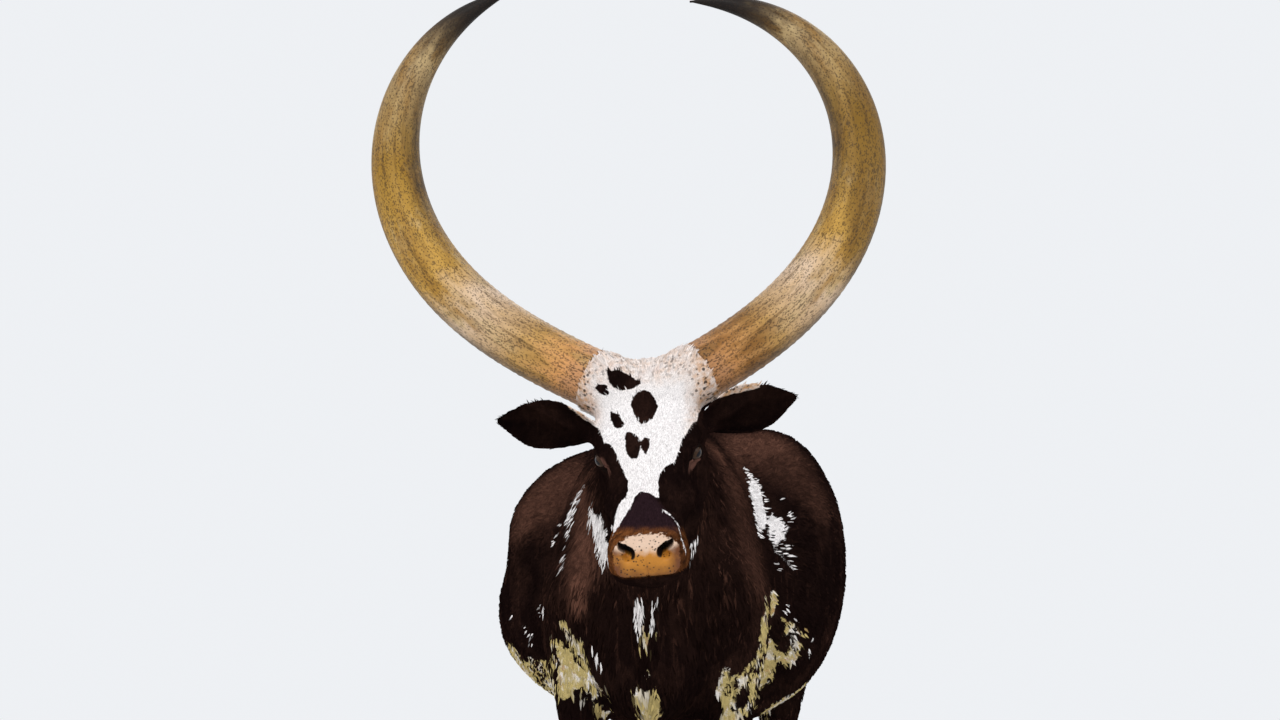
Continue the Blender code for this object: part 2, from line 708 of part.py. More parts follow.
def claw(name, leg, foot_y, across, sign, cutters, home):
    """One claw of a foot: a wall that leans forward to a rounded toe, on a flat sole."""
    floor_y = foot_y + STANCE[leg]
    stations = ((0.0, 0.0, 0.97), (0.010, 0.10, 1.0), (0.092, 1.30, 1.0))
    rings = []
    for z, rise, plump in stations:
        half_length = (CLAW_SOLE[0] + (CLAW_TOP[0] - CLAW_SOLE[0]) * rise) * plump
        half_width = (CLAW_SOLE[1] + (CLAW_TOP[1] - CLAW_SOLE[1]) * rise) * plump
        y = floor_y + CLAW_SOLE_Y + (CLAW_TOP_Y - CLAW_SOLE_Y) * rise
        x = across + sign * (CLAW_SPREAD[0] + (CLAW_SPREAD[1] - CLAW_SPREAD[0]) * rise)
        ring = egg_ring((x, y, z), (1, 0, 0), (0, -1, 0), half_width, half_length, half_length, 1.9, 2.6, 14)
        for point in ring:
            toe = max(0.0, (y - point.y) / half_length)
            point.x -= sign * 0.008 * toe * toe
            limit = across + sign * 0.0025
            point.x = max(point.x, limit) if sign > 0 else min(point.x, limit)
        rings.append(ring)
    obj = loft(name, rings, home, "claw")
    centre, normal = coronet_plane(leg, foot_y)
    lid = slab(name + " lid", centre - normal * GAP, normal, 0.2, 0.6, cutters)
    return boolean(obj, lid, "DIFFERENCE")


def ear(side, sign, home, scrap):
    """A leaf rolled into a tube at its root and opening into a cup that faces ahead, on a round root."""
    rows, columns = 9, 6
    bm = bmesh.new()
    grid = []
    for i in range(rows):
        along = i / (rows - 1)
        spread = 0.30 * (1 - along) ** 2 + math.sin(math.pi * min(1.0, 0.06 + 0.94 * along) ** 0.86) ** 0.85
        half = max(0.004, EAR_WIDTH / 2 * spread)
        half_angle = math.radians(EAR_CURL[0] - EAR_CURL[1] * min(1.0, along * 1.5))
        radius = half / half_angle * 1.15
        row = []
        for j in range(columns):
            swing = half_angle * (2 * j / (columns - 1) - 1)
            depth = radius * (1 - math.cos(swing))
            height = radius * math.sin(swing)
            row.append(bm.verts.new((EAR_LENGTH[side] * along, -depth, height - EAR_DROOP * along * along)))
        grid.append(row)
    for one, two in zip(grid, grid[1:]):
        for a in range(columns - 1):
            bm.faces.new((one[a], one[a + 1], two[a + 1], two[a]))
    leaf = mesh_object(f"ear_{side}", bm, home, "hide")
    wall = leaf.modifiers.new("wall", "SOLIDIFY")
    wall.thickness = EAR_SHELL
    wall.offset = 0
    apply_modifiers(leaf)
    turn = Matrix.Rotation(math.radians(-EAR_RISE[side]), 4, "Y") @ Matrix.Rotation(math.radians(EAR_BACK), 4, "Z")
    leaf.data.transform(turn)
    root = ball("ear root", EAR_ROOT_PLACE, EAR_ROOT_RADII, scrap, detail=(10, 6))
    boolean(leaf, root, "UNION")
    if sign < 0:
        leaf.data.transform(Matrix.Scale(-1, 4, (1, 0, 0)))
        leaf.data.flip_normals()
    across, ahead, height = EAR_ROOT
    held = (
        Matrix.Rotation(math.radians(HEAD_YAW), 4, "Z")
        @ Matrix.Rotation(math.radians(HEAD_ROLL), 4, "Y")
    )
    leaf.data.transform(Matrix.Translation(head_point(across * sign, ahead, height)) @ held)
    return keep_largest(leaf)


def eye_frame(sign):
    """A frame at an eye's centre: Z looks out of the head and X runs along the slit of the lids."""
    look = Vector((EYE_LOOK[0] * sign, -EYE_LOOK[1], EYE_LOOK[2])).normalized()
    slit = Vector((0, 1, 0.30)) - look * look.dot(Vector((0, 1, 0.30)))
    slit.normalize()
    above = look.cross(slit)
    turn = Matrix((slit, above, look)).transposed().to_4x4()
    across, ahead, height = EYE_PLACE
    return HEAD @ Matrix.Translation((across * sign, -ahead, height)) @ turn


def almond(name, frame, home):
    """A cutter with the outline of the open lids."""
    half, tall = LID_OPENING
    bm = bmesh.new()
    count = 16
    outline = []
    for step in range(count):
        angle = 2 * math.pi * step / count
        x = half * math.cos(angle)
        y = tall * math.sin(angle) * (1 - 0.25 * abs(math.cos(angle)))
        outline.append(bm.verts.new((x, y, 0.002)))
    face = bm.faces.new(outline)
    made = bmesh.ops.extrude_face_region(bm, geom=[face])
    moved = [item for item in made["geom"] if isinstance(item, bmesh.types.BMVert)]
    bmesh.ops.translate(bm, verts=moved, vec=(0, 0, 0.06))
    bmesh.ops.scale(bm, verts=moved, vec=(1.5, 1.5, 1))
    bmesh.ops.transform(bm, matrix=frame, verts=bm.verts)
    return mesh_object(name, bm, home)


def switch(home, scrap):
    """The tail's brush: a slim core with flat locks that hang and overlap down to a pointed end."""
    draw = random.Random(7)
    top = SWITCH_CUT_HEIGHT - GAP
    middle_y = DOCK[-1][0]
    middle_x = drift(middle_y)
    pieces = collection("switch hair", False)
    core_shares = ((0.0, 0.66), (0.25, 1.0), (0.55, 0.8), (0.80, 0.45), (0.93, 0.15))
    points = [(middle_x, middle_y, top - share * SWITCH_LENGTH) for share, _ in core_shares]
    radii = [SWITCH_CORE_RADIUS * plump for _, plump in core_shares]
    core = tube("tail_switch", points, radii, home, 3, "switch")
    golden = math.pi * (3 - math.sqrt(5))
    for order in range(LOCKS):
        share = (order + 0.5) / LOCKS
        angle = golden * order
        out = Vector((math.cos(angle), math.sin(angle), 0))
        side = Vector((-out.y, out.x, 0))
        root_z = top - 0.022 - share * (SWITCH_LENGTH - LOCK_LENGTH)
        length = LOCK_LENGTH * draw.uniform(0.82, 1.0) * (1 - 0.25 * (1 - share))
        swell = SWITCH_RADIUS * (1 - 0.35 * share) * draw.uniform(0.8, 1.0)
        rings = []
        for along, spread, width in ((0, 0.15, 0.7), (0.25, 0.75, 1.0), (0.6, 0.85, 0.8), (1, 0.25, 0.12)):
            centre = Vector((middle_x, middle_y, root_z - length * along)) + out * swell * spread
            ring = [
                centre + side * LOCK_WIDTH / 2 * width * a + out * LOCK_THICKNESS / 2 * (width + 0.15) * b
                for a, b in ((1, 0), (0, 1), (-1, 0), (0, -1))
            ]
            rings.append(ring)
        loft(f"lock {order}", rings, pieces)
    union = core.modifiers.new("locks", "BOOLEAN")
    union.operation = "UNION"
    union.operand_type = "COLLECTION"
    union.collection = pieces
    union.solver = "EXACT"
    apply_modifiers(core)
    for obj in list(pieces.objects):
        bpy.data.objects.remove(obj)
    return keep_largest(core)


def centre_on_floor(home):
    """Slides the whole animal so that the middle of its box stands over the origin."""
    corners = [vert.co for obj in home.objects for vert in obj.data.vertices]
    shift = Vector((
        -(min(c.x for c in corners) + max(c.x for c in corners)) / 2,
        -(min(c.y for c in corners) + max(c.y for c in corners)) / 2,
        -min(c.z for c in corners),
    ))
    for obj in home.objects:
        obj.data.transform(Matrix.Translation(shift))


def build():
    clear_scene()
    cow = collection("long-horned cow", True)
    forms = collection("forms", False)
    cutters = collection("cutters", False)

    for make in (trunk_forms, neck_forms, leg_forms, udder_forms, head_forms):
        make(forms)
    flesh = smooth_flesh(forms)
    body = coarse(flesh, BODY_TRIANGLES, "body skin", cutters)
    fine = coarse(flesh, FINE_TRIANGLES, "fine skin", cutters)
    bpy.data.objects.remove(flesh)

    half = GAP / 2
    nape, ahead = Vector(NAPE_CUT[0]), Vector(NAPE_CUT[1]).normalized()
    chest, forward = Vector(CHEST_CUT[0]), Vector(CHEST_CUT[1]).normalized()
    head_cell = slab("head cell", nape, ahead, 0.9, 0.5, cutters, half)
    head_room = slab("head room", nape, ahead, 0.9, 0.5, cutters, -half)
    neck_cell = slab("neck cell", chest, forward, 0.9, 0.6, cutters, half)
    neck_room = slab("neck room", chest, forward, 0.9, 0.6, cutters, -half)
    middle = Vector((drift(UDDER[0][1]), 0, 0))
    udder_low, udder_high = (Vector(corner) + middle for corner in UDDER_CELL)
    inset = Vector((half, half, half))
    udder_cell = box("udder cell", udder_low + inset, udder_high - inset, cutters)
    udder_room = box("udder room", udder_low - inset, udder_high + inset, cutters)

    rooms = [neck_room, udder_room]
    for pair, cut in (("front", KNEE_CUT_HEIGHT), ("hind", HOCK_CUT_HEIGHT)):
        foot_y = FOOT_Y[pair]
        for side, sign in SIDES:
            leg = f"{pair}_{side}"
            cell = leg_cell(f"{leg} cell", pair, sign, cutters, -half)
            rooms.append(leg_cell(f"{leg} room", pair, sign, cutters, half))
            upper = slab(f"{leg} upper", (0, 0, cut), (0, 0, 1), 2, 2, cutters, half)
            lower = slab(f"{leg} lower", (0, 0, cut), (0, 0, -1), 2, 2, cutters, half)
            piece_of(body, f"leg_{leg}_upper", cow, [cell, upper], [udder_room])
            centre, normal = coronet_plane(leg, foot_y)
            foot = slab(f"{leg} foot", centre, -normal, 0.3, 0.6, cutters)
            shank = piece_of(fine, f"leg_{leg}_shank", cow, [cell, lower], [foot])
            across = (FORELEG if pair == "front" else HINDLEG)[-1][2] * sign + drift(foot_y)
            for toe, outward in (("outer", sign), ("inner", -sign)):
                claw(f"claw_{leg}_{toe}", leg, foot_y, across, outward, cutters, cow)
                side_x, behind, height = DEWCLAW_PLACE
                spot = Vector((across + outward * side_x, leg_y(leg, height, foot_y) + behind, height))
                tip = spot + Vector((outward * 0.003, DEWCLAW_LENGTH * 0.45, -DEWCLAW_LENGTH * 0.80))
                root = spot + Vector((0, -0.012, 0.012))
                radii = (DEWCLAW_RADIUS * 0.9, DEWCLAW_RADIUS, DEWCLAW_RADIUS * 0.6)
                horn = tube(f"dewclaw_{leg}_{toe}", (root, spot, tip), radii, cow, 1, "claw")
                seat(shank, horn, cutters)

    piece_of(body, "udder", cow, [udder_cell])
    neck = piece_of(body, "neck", cow, [neck_cell], [head_room])
    torso = piece_of(body, "torso", cow, [], rooms)
    head = piece_of(fine, "head", cow, [head_cell])

    dock = tube("tail_dock", [(drift(y), y, z) for y, z, _ in DOCK], [r for *_, r in DOCK], cow, 4, "hide")
    seat(torso, dock, cutters)
    boolean(dock, slab("dock end", (0, 0, SWITCH_CUT_HEIGHT), (0, 0, -1), 1, 2, cutters), "DIFFERENCE")
    switch(cow, cutters)

    for side, sign in SIDES:
        points, radii = horn_line(side, sign)
        horn = tube(f"horn_{side}", points, radii, cow, HORN_SIDES, "horn")
        seat(head, horn, cutters)
        leaf = ear(side, sign, cow, cutters)
        seat(head, leaf, cutters)
        frame = eye_frame(sign)
        lid = ball("lid", (0, 0, 0), (EYE_RADIUS + LID_THICKNESS,) * 3, cutters, detail=(18, 10))
        lid.data.transform(frame)
        boolean(head, lid, "UNION")
        boolean(head, almond(f"lids {side}", frame, cutters), "DIFFERENCE")
        eye = ball(f"eye_{side}", (0, 0, 0), (EYE_RADIUS,) * 3, cow, detail=(12, 8), finish="eye")
        eye.data.transform(frame)
        seat(head, eye, cutters)

    nose_and_mouth(head, cow, cutters)
    centre_on_floor(cow)
    for obj in list(cutters.objects) + list(forms.objects):
        bpy.data.objects.remove(obj)
    for obj in cow.objects:
        obj.data.shade_smooth()
        obj.data.set_sharp_from_angle(angle=math.radians(40))


def nose_and_mouth(head, home, cutters):
    """Parts the bare nose pad from the muzzle, opens the nostrils, and draws the line of the mouth."""
    (across, ahead, height), (half_width, half_height) = NOSE_PAD
    rings = [
        egg_ring((across, -at, height), (1, 0, 0), (0, 0, 1), half_width, half_height, half_height, 2.6, 2.6, 24)
        for at in (ahead - NOSE_PAD_DEPTH, ahead + 0.06)
    ]
    inner = loft("nose cell", rings, cutters)
    inner.data.transform(HEAD)
    pad = piece_of(head, "nose", home, [inner], finish="nose")
    boolean(head, grown(inner, GAP, cutters), "DIFFERENCE")
    for side, sign in SIDES:
        (x, y, z), radii = NOSTRIL
        turn = (
            Matrix.Rotation(math.radians(NOSTRIL_TURN[0] * sign), 3, "Y")
            @ Matrix.Rotation(math.radians(NOSTRIL_TURN[1] * sign), 3, "Z")
        )
        hole = ball(f"nostril {side}", (x * sign, -y, z), radii, cutters, turn, (10, 8))
        hole.data.transform(HEAD)
        boolean(pad, hole, "DIFFERENCE")
        boolean(head, hole, "DIFFERENCE")
    right = [Vector((-x, -y, z)) for x, y, z in MOUTH]
    left = [Vector((x, -y, z)) for x, y, z in reversed(MOUTH)]
    line = [HEAD @ point for point in right + left[1:]]
    groove = tube("mouth", line, [MOUTH_RADIUS] * len(line), cutters, 2)
    boolean(head, groove, "DIFFERENCE")
    keep_largest(head)


build()
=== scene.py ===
"""A standing Ankole-Watusi cow at life size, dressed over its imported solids.

One smooth skin stands for all the nodes of flesh. Horns, eyes, claws and the
tail's brush are pieces of their own, and short tufts of hair lie on the skin.
"""
import math

import bmesh
import bpy
import numpy as np
from bpy.props import FloatProperty, FloatVectorProperty, IntProperty, PointerProperty
from mathutils import Matrix, Vector
from mathutils.bvhtree import BVHTree


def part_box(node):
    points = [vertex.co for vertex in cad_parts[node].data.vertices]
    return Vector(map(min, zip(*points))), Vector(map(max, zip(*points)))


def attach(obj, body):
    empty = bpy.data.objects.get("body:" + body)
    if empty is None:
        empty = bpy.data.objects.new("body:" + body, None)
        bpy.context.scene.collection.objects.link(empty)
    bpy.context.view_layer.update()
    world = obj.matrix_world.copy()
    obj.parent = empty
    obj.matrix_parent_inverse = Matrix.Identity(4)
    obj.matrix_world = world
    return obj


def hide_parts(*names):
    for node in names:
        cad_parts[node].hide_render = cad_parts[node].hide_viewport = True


bl_info = {
    "name": "Long-horned cow",
    "version": (1, 0, 0),
    "blender": (4, 5, 0),
    "location": "3D View > Sidebar > Cow",
    "description": "Builds a life-size Ankole-Watusi cow with skin, coat, horns, eyes, claws and tail brush",
    "category": "Object",
}

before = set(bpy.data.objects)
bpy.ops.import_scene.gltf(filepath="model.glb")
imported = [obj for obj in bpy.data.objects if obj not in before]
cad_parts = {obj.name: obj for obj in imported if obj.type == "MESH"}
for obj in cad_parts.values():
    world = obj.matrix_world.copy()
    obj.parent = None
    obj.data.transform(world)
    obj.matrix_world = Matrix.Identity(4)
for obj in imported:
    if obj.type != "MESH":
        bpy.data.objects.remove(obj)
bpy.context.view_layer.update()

SIDES = (("left", 1), ("right", -1))
LEGS = ("front_left", "front_right", "hind_left", "hind_right")
FLESH = ["torso", "neck", "head", "nose", "udder", "tail_dock", "ear_left", "ear_right"]
FLESH += [f"leg_{leg}_{part}" for leg in LEGS for part in ("upper", "shank")]

# The head's own frame: across, ahead and high, measured from between the horns.
HEAD_PLACE = (0.027, -0.93, 1.25)
HEAD_TURN = (32, -4.4, -2.2)

# One horn: first heading, whole turn, lateness of the turn, length.
HORNS = {"left": (31.2, 150.6, 1.52, 1.193), "right": (33.2, 136.3, 1.73, 1.214)}
HORN_BASE = (0.112, -0.045, 0.110)
HORN_LEAN = 18
HORN_BOW = 0.05
HORN_RADIUS = 0.064
HORN_TIP = 0.0022
HORN_ROOT = 0.022
# The skin's own stub that carries a horn.
HORN_STUB = 0.040
HORN_RINGS = 180
HORN_SIDES = 40

EYE_PLACE = (0.0890, 0.190, 0.043)
EYE_LOOK = (0.75, 0.60, 0.12)
EYE_RADIUS = 0.0205
EYE_MIDDLES = [((EYE_PLACE[0] + 0.012) * sign, EYE_PLACE[1] + 0.012, EYE_PLACE[2]) for _, sign in SIDES]
LID_HALF = (0.0185, 0.0112)
# Folds about the eye: above the slit or below, rise, distance from the slit, width.
LID_FOLDS = (
    (True, -0.0020, 0.0078, 0.0013), (True, -0.0014, 0.0135, 0.0018), (True, 0.0016, 0.0105, 0.0020),
    (False, -0.0015, 0.0072, 0.0012), (False, -0.0011, 0.0120, 0.0017),
)

VOXEL = 0.0042
GROWN = 0.0022
SKIN_TRIANGLES = 107000
PIECE_TRIANGLES = 190000
TUFT_TRIANGLES = 10

# Tufts per square metre, and how many more where a share is full.
TUFTS = 9000
MORE_TUFTS = {"face": 5000, "ear": 9000, "limb": 3000}
# Where the hair stops: inside the nose's edge, above the claws, round the eyes, above the teats' ends,
# and behind and below the start of the brush.
PAD_EDGE = -0.002
CORONET = (0.060, 0.105)
HAIR_LOW = 0.068
LID_REACH = 0.031
TEAT_TOP = 0.055
BRUSH_START = (1.05, 0.60)
GOLDEN_ANGLE = 2.39996

NOSE_MIDDLE = (0.0, 0.49, -0.02)
NOSTRIL = ((0.052, 0.004), (0.043, 0.000), (0.031, -0.009))
MOUTH = (
    (0.064, 0.385, -0.061), (0.0765, 0.430, -0.066), (0.078, 0.450, -0.065), (0.077, 0.482, -0.063),
    (0.0535, 0.505, -0.060), (0.0, 0.507, -0.0585),
)
# Brow, tear groove, cheek crest, jaw groove and vein: the line, its width and its rise.
FACE_FORMS = (
    (((0.086, 0.138, 0.080), (0.091, 0.180, 0.083), (0.084, 0.220, 0.071)), 0.014, 0.0034),
    (((0.094, 0.232, 0.032), (0.088, 0.268, 0.014), (0.083, 0.300, 0.004)), 0.008, -0.0024),
    (((0.097, 0.240, -0.008), (0.084, 0.300, -0.018), (0.074, 0.345, -0.020)), 0.011, 0.0030),
    (((0.10, 0.245, -0.03), (0.088, 0.235, -0.09), (0.075, 0.205, -0.135)), 0.011, -0.0030),
    (((0.088, 0.275, -0.050), (0.080, 0.310, -0.012), (0.066, 0.355, 0.006)), 0.0035, 0.0012),
)

# The camera: focal length in points of the picture, turn, and place in the source's frame.
PICTURE = (1280, 720)
CAMERA_POINTS = 4500
CAMERA_TURN = 3.0
CAMERA_RISE = 309
CAMERA_PLACE = (0.4896, -10.3088, 0.75)
POINTS_PER_METRE = 470

# Below this line of the picture the white of the face ends in its thin lower strip.
STRIP_LINE = 470
OUTLINE_MARGIN = 30

# Outlines of the markings as the camera sees them, in points across and down.
BLAZE = (
    (540, 330), (760, 330), (760, 388), (725, 396), (712, 401), (704, 405), (699, 412), (697, 421), (692, 424),
    (688, 431), (683, 438), (680, 446), (677, 456), (673, 463), (665, 467), (660, 473), (658, 482), (659, 498),
    (655, 497), (650, 493), (645, 492), (640, 492), (635, 497), (631, 507), (625, 516), (620, 524), (614, 533),
    (610, 540), (606, 546), (604, 552), (605, 560), (604, 569), (601, 567), (598, 560), (596, 550), (595, 540),
    (592, 531), (589, 520), (590, 508), (589, 492), (593, 493), (595, 505), (597, 514), (599, 513), (600, 506),
    (603, 515), (605, 527), (608, 532), (611, 527), (615, 517), (617, 508), (620, 503), (626, 496), (628, 489),
    (628, 481), (624, 473), (620, 464), (618, 457), (613, 448), (609, 444), (604, 442), (602, 436), (599, 429),
    (594, 426), (590, 422), (586, 421), (576, 413), (562, 402), (540, 398),
)
SPOTS = (
    ((607, 369), (611, 371), (618, 370), (629, 375), (636, 380), (641, 381), (640, 384), (634, 388), (628, 390),
     (622, 391), (614, 388), (609, 382)),
    ((595, 388), (598, 384), (607, 385), (609, 394), (606, 396), (599, 393)),
    ((631, 405), (633, 397), (638, 392), (644, 390), (650, 392), (654, 397), (658, 407), (653, 418), (646, 423),
     (641, 424), (637, 419), (633, 412)),
    ((610, 411), (620, 415), (622, 420), (625, 425), (620, 429), (615, 427), (611, 420)),
    ((626, 432), (629, 432), (636, 435), (640, 440), (640, 449), (637, 458), (631, 459), (628, 455), (625, 447)),
    ((640, 442), (645, 437), (650, 439), (649, 448), (646, 454), (642, 450)),
)
# White on the body.
STREAKS = (
    ((590, 488), (593, 493), (595, 505), (597, 514), (599, 513), (600, 506), (603, 515), (605, 527), (612, 531),
     (610, 545), (608, 560), (604, 569), (601, 567), (598, 560), (596, 550), (595, 540), (592, 531), (589, 520),
     (590, 508)),
    ((687, 551), (690, 544), (698, 535), (698, 541), (694, 550), (690, 561), (687, 559)),
    ((587, 480), (580, 500), (577, 512), (575, 524), (571, 531), (569, 540), (566, 547), (564, 530), (560, 525),
     (567, 512), (572, 503), (581, 488)),
    ((566, 553), (564, 568), (561, 569), (562, 561)),
    ((559, 531), (555, 543), (551, 548), (553, 540)),
    ((743, 467), (757, 481), (767, 505), (769, 517), (776, 520), (781, 532), (790, 547), (792, 560), (793, 573),
     (789, 572), (786, 562), (777, 541), (772, 533), (768, 524), (764, 524), (760, 538), (757, 536), (753, 510),
     (747, 488)),
    ((766, 528), (770, 535), (768, 549)), ((774, 545), (779, 545), (777, 560), (781, 565), (778, 571), (774, 568)),
    ((779, 500), (782, 500), (785, 507)), ((785, 507), (790, 516), (793, 529), (788, 527)),
    ((635, 597), (643, 597), (641, 620), (641, 632), (637, 634), (632, 622), (634, 610)),
    ((652, 597), (658, 597), (654, 614), (653, 634), (649, 632), (650, 612)),
    ((520, 660), (525, 667), (533, 684), (526, 676)), ((524, 622), (535, 634), (531, 637), (526, 630)),
    ((529, 642), (534, 644), (531, 648)), ((538, 598), (544, 601), (544, 615), (541, 612)),
    ((510, 612), (514, 614), (512, 618)), ((590, 638), (598, 655), (605, 667), (600, 666), (593, 656)),
    ((588, 667), (592, 672), (591, 684), (587, 685)), ((786, 599), (789, 606), (783, 618), (782, 612)),
    ((792, 616), (795, 626), (792, 627)), ((806, 646), (811, 648), (808, 654)), ((814, 635), (815, 639), (811, 640)),
)
# Ragged cream.
CREAM = (
    ((563, 622), (573, 634), (580, 642), (584, 652), (587, 676), (583, 698), (567, 692), (549, 700), (536, 690),
     (531, 682), (540, 682), (553, 675), (549, 659), (555, 648), (551, 635), (561, 644), (566, 643)),
    ((591, 690), (597, 684), (606, 690), (598, 694), (596, 701), (607, 703), (603, 711), (594, 724), (593, 702)),
    ((638, 626), (652, 630), (652, 648), (645, 650), (640, 648)),
    ((637, 682), (648, 692), (652, 690), (658, 712), (661, 730), (645, 730), (636, 705)),
    ((771, 590), (774, 610), (773, 624), (768, 630), (771, 645), (778, 660), (776, 668), (765, 680), (752, 694),
     (743, 703), (745, 685), (753, 660), (761, 640), (764, 616)),
    ((796, 627), (804, 632), (796, 650), (785, 665), (789, 648), (788, 636)),
    ((734, 657), (741, 688), (733, 700), (738, 706), (738, 730), (722, 730), (719, 700), (721, 680), (727, 675),
     (733, 684), (737, 680)),
)
# Warm sheen on the neck and shoulders: how strong, and the outline.
WARM_SHEEN = (
    (0.62, ((586, 448), (586, 480), (575, 497), (556, 522), (535, 530), (505, 545), (498, 575), (512, 510),
            (545, 460))),
    (1.5, ((579, 530), (592, 530), (592, 575), (582, 612), (572, 610), (570, 575))),
    (1.0, ((579, 490), (588, 484), (592, 515), (596, 545), (591, 575), (580, 610), (570, 610), (568, 575), (575, 540),
           (578, 512))),
    (0.75, ((700, 430), (716, 424), (760, 424), (790, 444), (812, 468), (780, 462), (745, 456), (716, 462))),
    (0.36, ((722, 440), (745, 446), (770, 440), (800, 455), (825, 490), (838, 520), (815, 520), (780, 485),
            (748, 468), (752, 520), (764, 560), (768, 600), (748, 600), (732, 540), (722, 480))),
)
# The white curve beside the nose, and the dark bridge above it.
NOSE_CURVE = ((662, 509), (670, 515), (678, 524), (681, 537), (688, 559))
NOSE_BRIDGE = ((645, 488), (680, 531), (614, 531))

# Cream on the flanks and under the belly, in the source's frame: two ends and a radius.
PATCHES = (
    ((0.300, 0.05, 0.700), (0.250, 0.25, 0.665), 0.050), ((-0.330, 0.02, 0.760), (-0.290, 0.22, 0.690), 0.050),
    ((0.02, 0.0, 0.62), (0.03, 0.30, 0.625), 0.100), ((0.20, 0.50, 0.70), (0.18, 0.56, 0.62), 0.040),
    ((-0.20, 0.52, 0.72), (-0.17, 0.58, 0.63), 0.045),
)


def ease(low, high, value):
    """A soft step from 0 at low to 1 at high."""
    share = np.clip((value - low) / (high - low), 0.0, 1.0)
    return share * share * (3 - 2 * share)


def bump_at(value, middle, width):
    return np.exp(-(((value - middle) / width) ** 2))


def head_frame():
    pitch, roll, yaw = (math.radians(angle) for angle in HEAD_TURN)
    turn = Matrix.Rotation(yaw, 4, "Z") @ Matrix.Rotation(roll, 4, "Y") @ Matrix.Rotation(pitch, 4, "X")
    return Matrix.Translation(HEAD_PLACE) @ turn


def eye_frame(sign):
    """A frame at an eye's centre: Z looks out of the head and X runs along the slit of the lids."""
    look = Vector((EYE_LOOK[0] * sign, -EYE_LOOK[1], EYE_LOOK[2])).normalized()
    back = Vector((0, 1, 0.30))
    slit = (back - look * look.dot(back)).normalized()
    turn = Matrix((slit, look.cross(slit), look)).transposed().to_4x4()
    across, ahead, height = EYE_PLACE
    return head_frame() @ Matrix.Translation((across * sign, -ahead, height)) @ turn


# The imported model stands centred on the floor, so the source's own numbers are moved to it.
SHIFT = sum(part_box("eye_left"), Vector((0, 0, 0))) / 2 - eye_frame(1).translation
MOVE = Matrix.Translation(SHIFT)
HEAD = MOVE @ head_frame()
HEAD_AXES = np.array(HEAD)[:3, :3]


def in_frame(matrix, points):
    """Points, one per row, in a frame's own coordinates."""
    inverse = np.array(matrix.inverted())
    return points @ inverse[:3, :3].T + inverse[:3, 3]


def head_view(points):
    """Across, ahead and high of points given in the room's frame."""
    return in_frame(HEAD, points) * (1, -1, 1)


def body_view(points):
    """Points of the room in the source's frame."""
    return points - np.array(SHIFT)


def eye_view(sign, points):
    """Points in an eye's own frame, and how far each is from its centre."""
    own = in_frame(MOVE @ eye_frame(sign), points)
    return own, np.linalg.norm(own, axis=1)


def lid_view(own):
    """Along the slit and above it, on the eyeball's round, of points in the eye's frame."""
    return (EYE_RADIUS * np.arctan2(own[:, axis], own[:, 2]) for axis in (0, 1))


def camera_axes():
    """The camera's right, up and ahead."""
    turn, rise = math.radians(CAMERA_TURN), math.atan(CAMERA_RISE / CAMERA_POINTS)
    right = np.array((math.cos(turn), math.sin(turn), 0.0))
    ahead = np.array((-math.sin(turn) * math.cos(rise), math.cos(turn) * math.cos(rise), math.sin(rise)))
    return right, np.cross(right, ahead), ahead


def seen(points):
    """Where the camera sees points, in points across and down the picture."""
    right, up, ahead = camera_axes()
    gap = body_view(points) - np.array(CAMERA_PLACE)
    scale = CAMERA_POINTS / (gap @ ahead)
    return np.column_stack((PICTURE[0] / 2 + scale * (gap @ right), PICTURE[1] / 2 - scale * (gap @ up)))


def horn_line(side, sign, rings):
    """Places along a horn's middle, from just inside the head to the tip, and how far along each is."""
    start, turn, lateness, length = HORNS[side]
    lean = math.radians(HORN_LEAN)
    held = Matrix.Rotation(math.radians(HEAD_TURN[2]), 3, "Z") @ Matrix.Rotation(math.radians(HEAD_TURN[1]), 3, "Y")
    fine = 8
    steps = rings * fine
    out = rise = 0.0
    heading = math.radians(start)
    flat = [(-math.cos(heading) * HORN_ROOT, -math.sin(heading) * HORN_ROOT, 0.0), (0.0, 0.0, 0.0)]
    for step in range(steps):
        heading = math.radians(start + turn * ((step + 0.5) / steps) ** lateness)
        out += math.cos(heading) * length / steps
        rise += math.sin(heading) * length / steps
        if (step + 1) % fine == 0:
            flat.append((out, rise, HORN_BOW * math.sin(math.pi * (step + 1) / steps)))
    places = []
    for out, rise, bow in flat:
        across = sign * (HORN_BASE[0] + out)
        back = HORN_BASE[1] + rise * math.sin(lean) + bow * math.cos(lean)
        up = HORN_BASE[2] + rise * math.cos(lean) - bow * math.sin(lean)
        places.append(SHIFT + Vector(HEAD_PLACE) + held @ Vector((across, back, up)))
    return places, [-HORN_ROOT / length] + [k / rings for k in range(rings + 1)]


def to_mesh(bm, name):
    mesh = bpy.data.meshes.new(name)
    bm.to_mesh(mesh)
    bm.free()
    return mesh


def add_object(name, data):
    obj = bpy.data.objects.new(name, data)
    bpy.context.scene.collection.objects.link(obj)
    return obj


def new_piece(name, mesh, material, finish, *nodes):
    """Puts a finished mesh in the scene as a piece that rides on the body and stands for its nodes."""
    obj = add_object(name, mesh)
    mesh.materials.clear()
    mesh.materials.append(material)
    mesh.shade_smooth()
    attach(obj, "root")
    if nodes:
        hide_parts(*nodes)


def settle(obj):
    """Applies an object's modifiers to its mesh."""
    graph = bpy.context.evaluated_depsgraph_get()
    made = bpy.data.meshes.new_from_object(obj.evaluated_get(graph))
    obj.modifiers.clear()
    old = obj.data
    obj.data = made
    bpy.data.meshes.remove(old)


def take_mesh(draft):
    """The mesh of a draft object, which goes."""
    mesh = draft.data
    bpy.data.objects.remove(draft)
    return mesh


def join_shells(obj, voxel):
    remesh = obj.modifiers.new("remesh", "REMESH")
    remesh.mode = "VOXEL"
    remesh.voxel_size = voxel


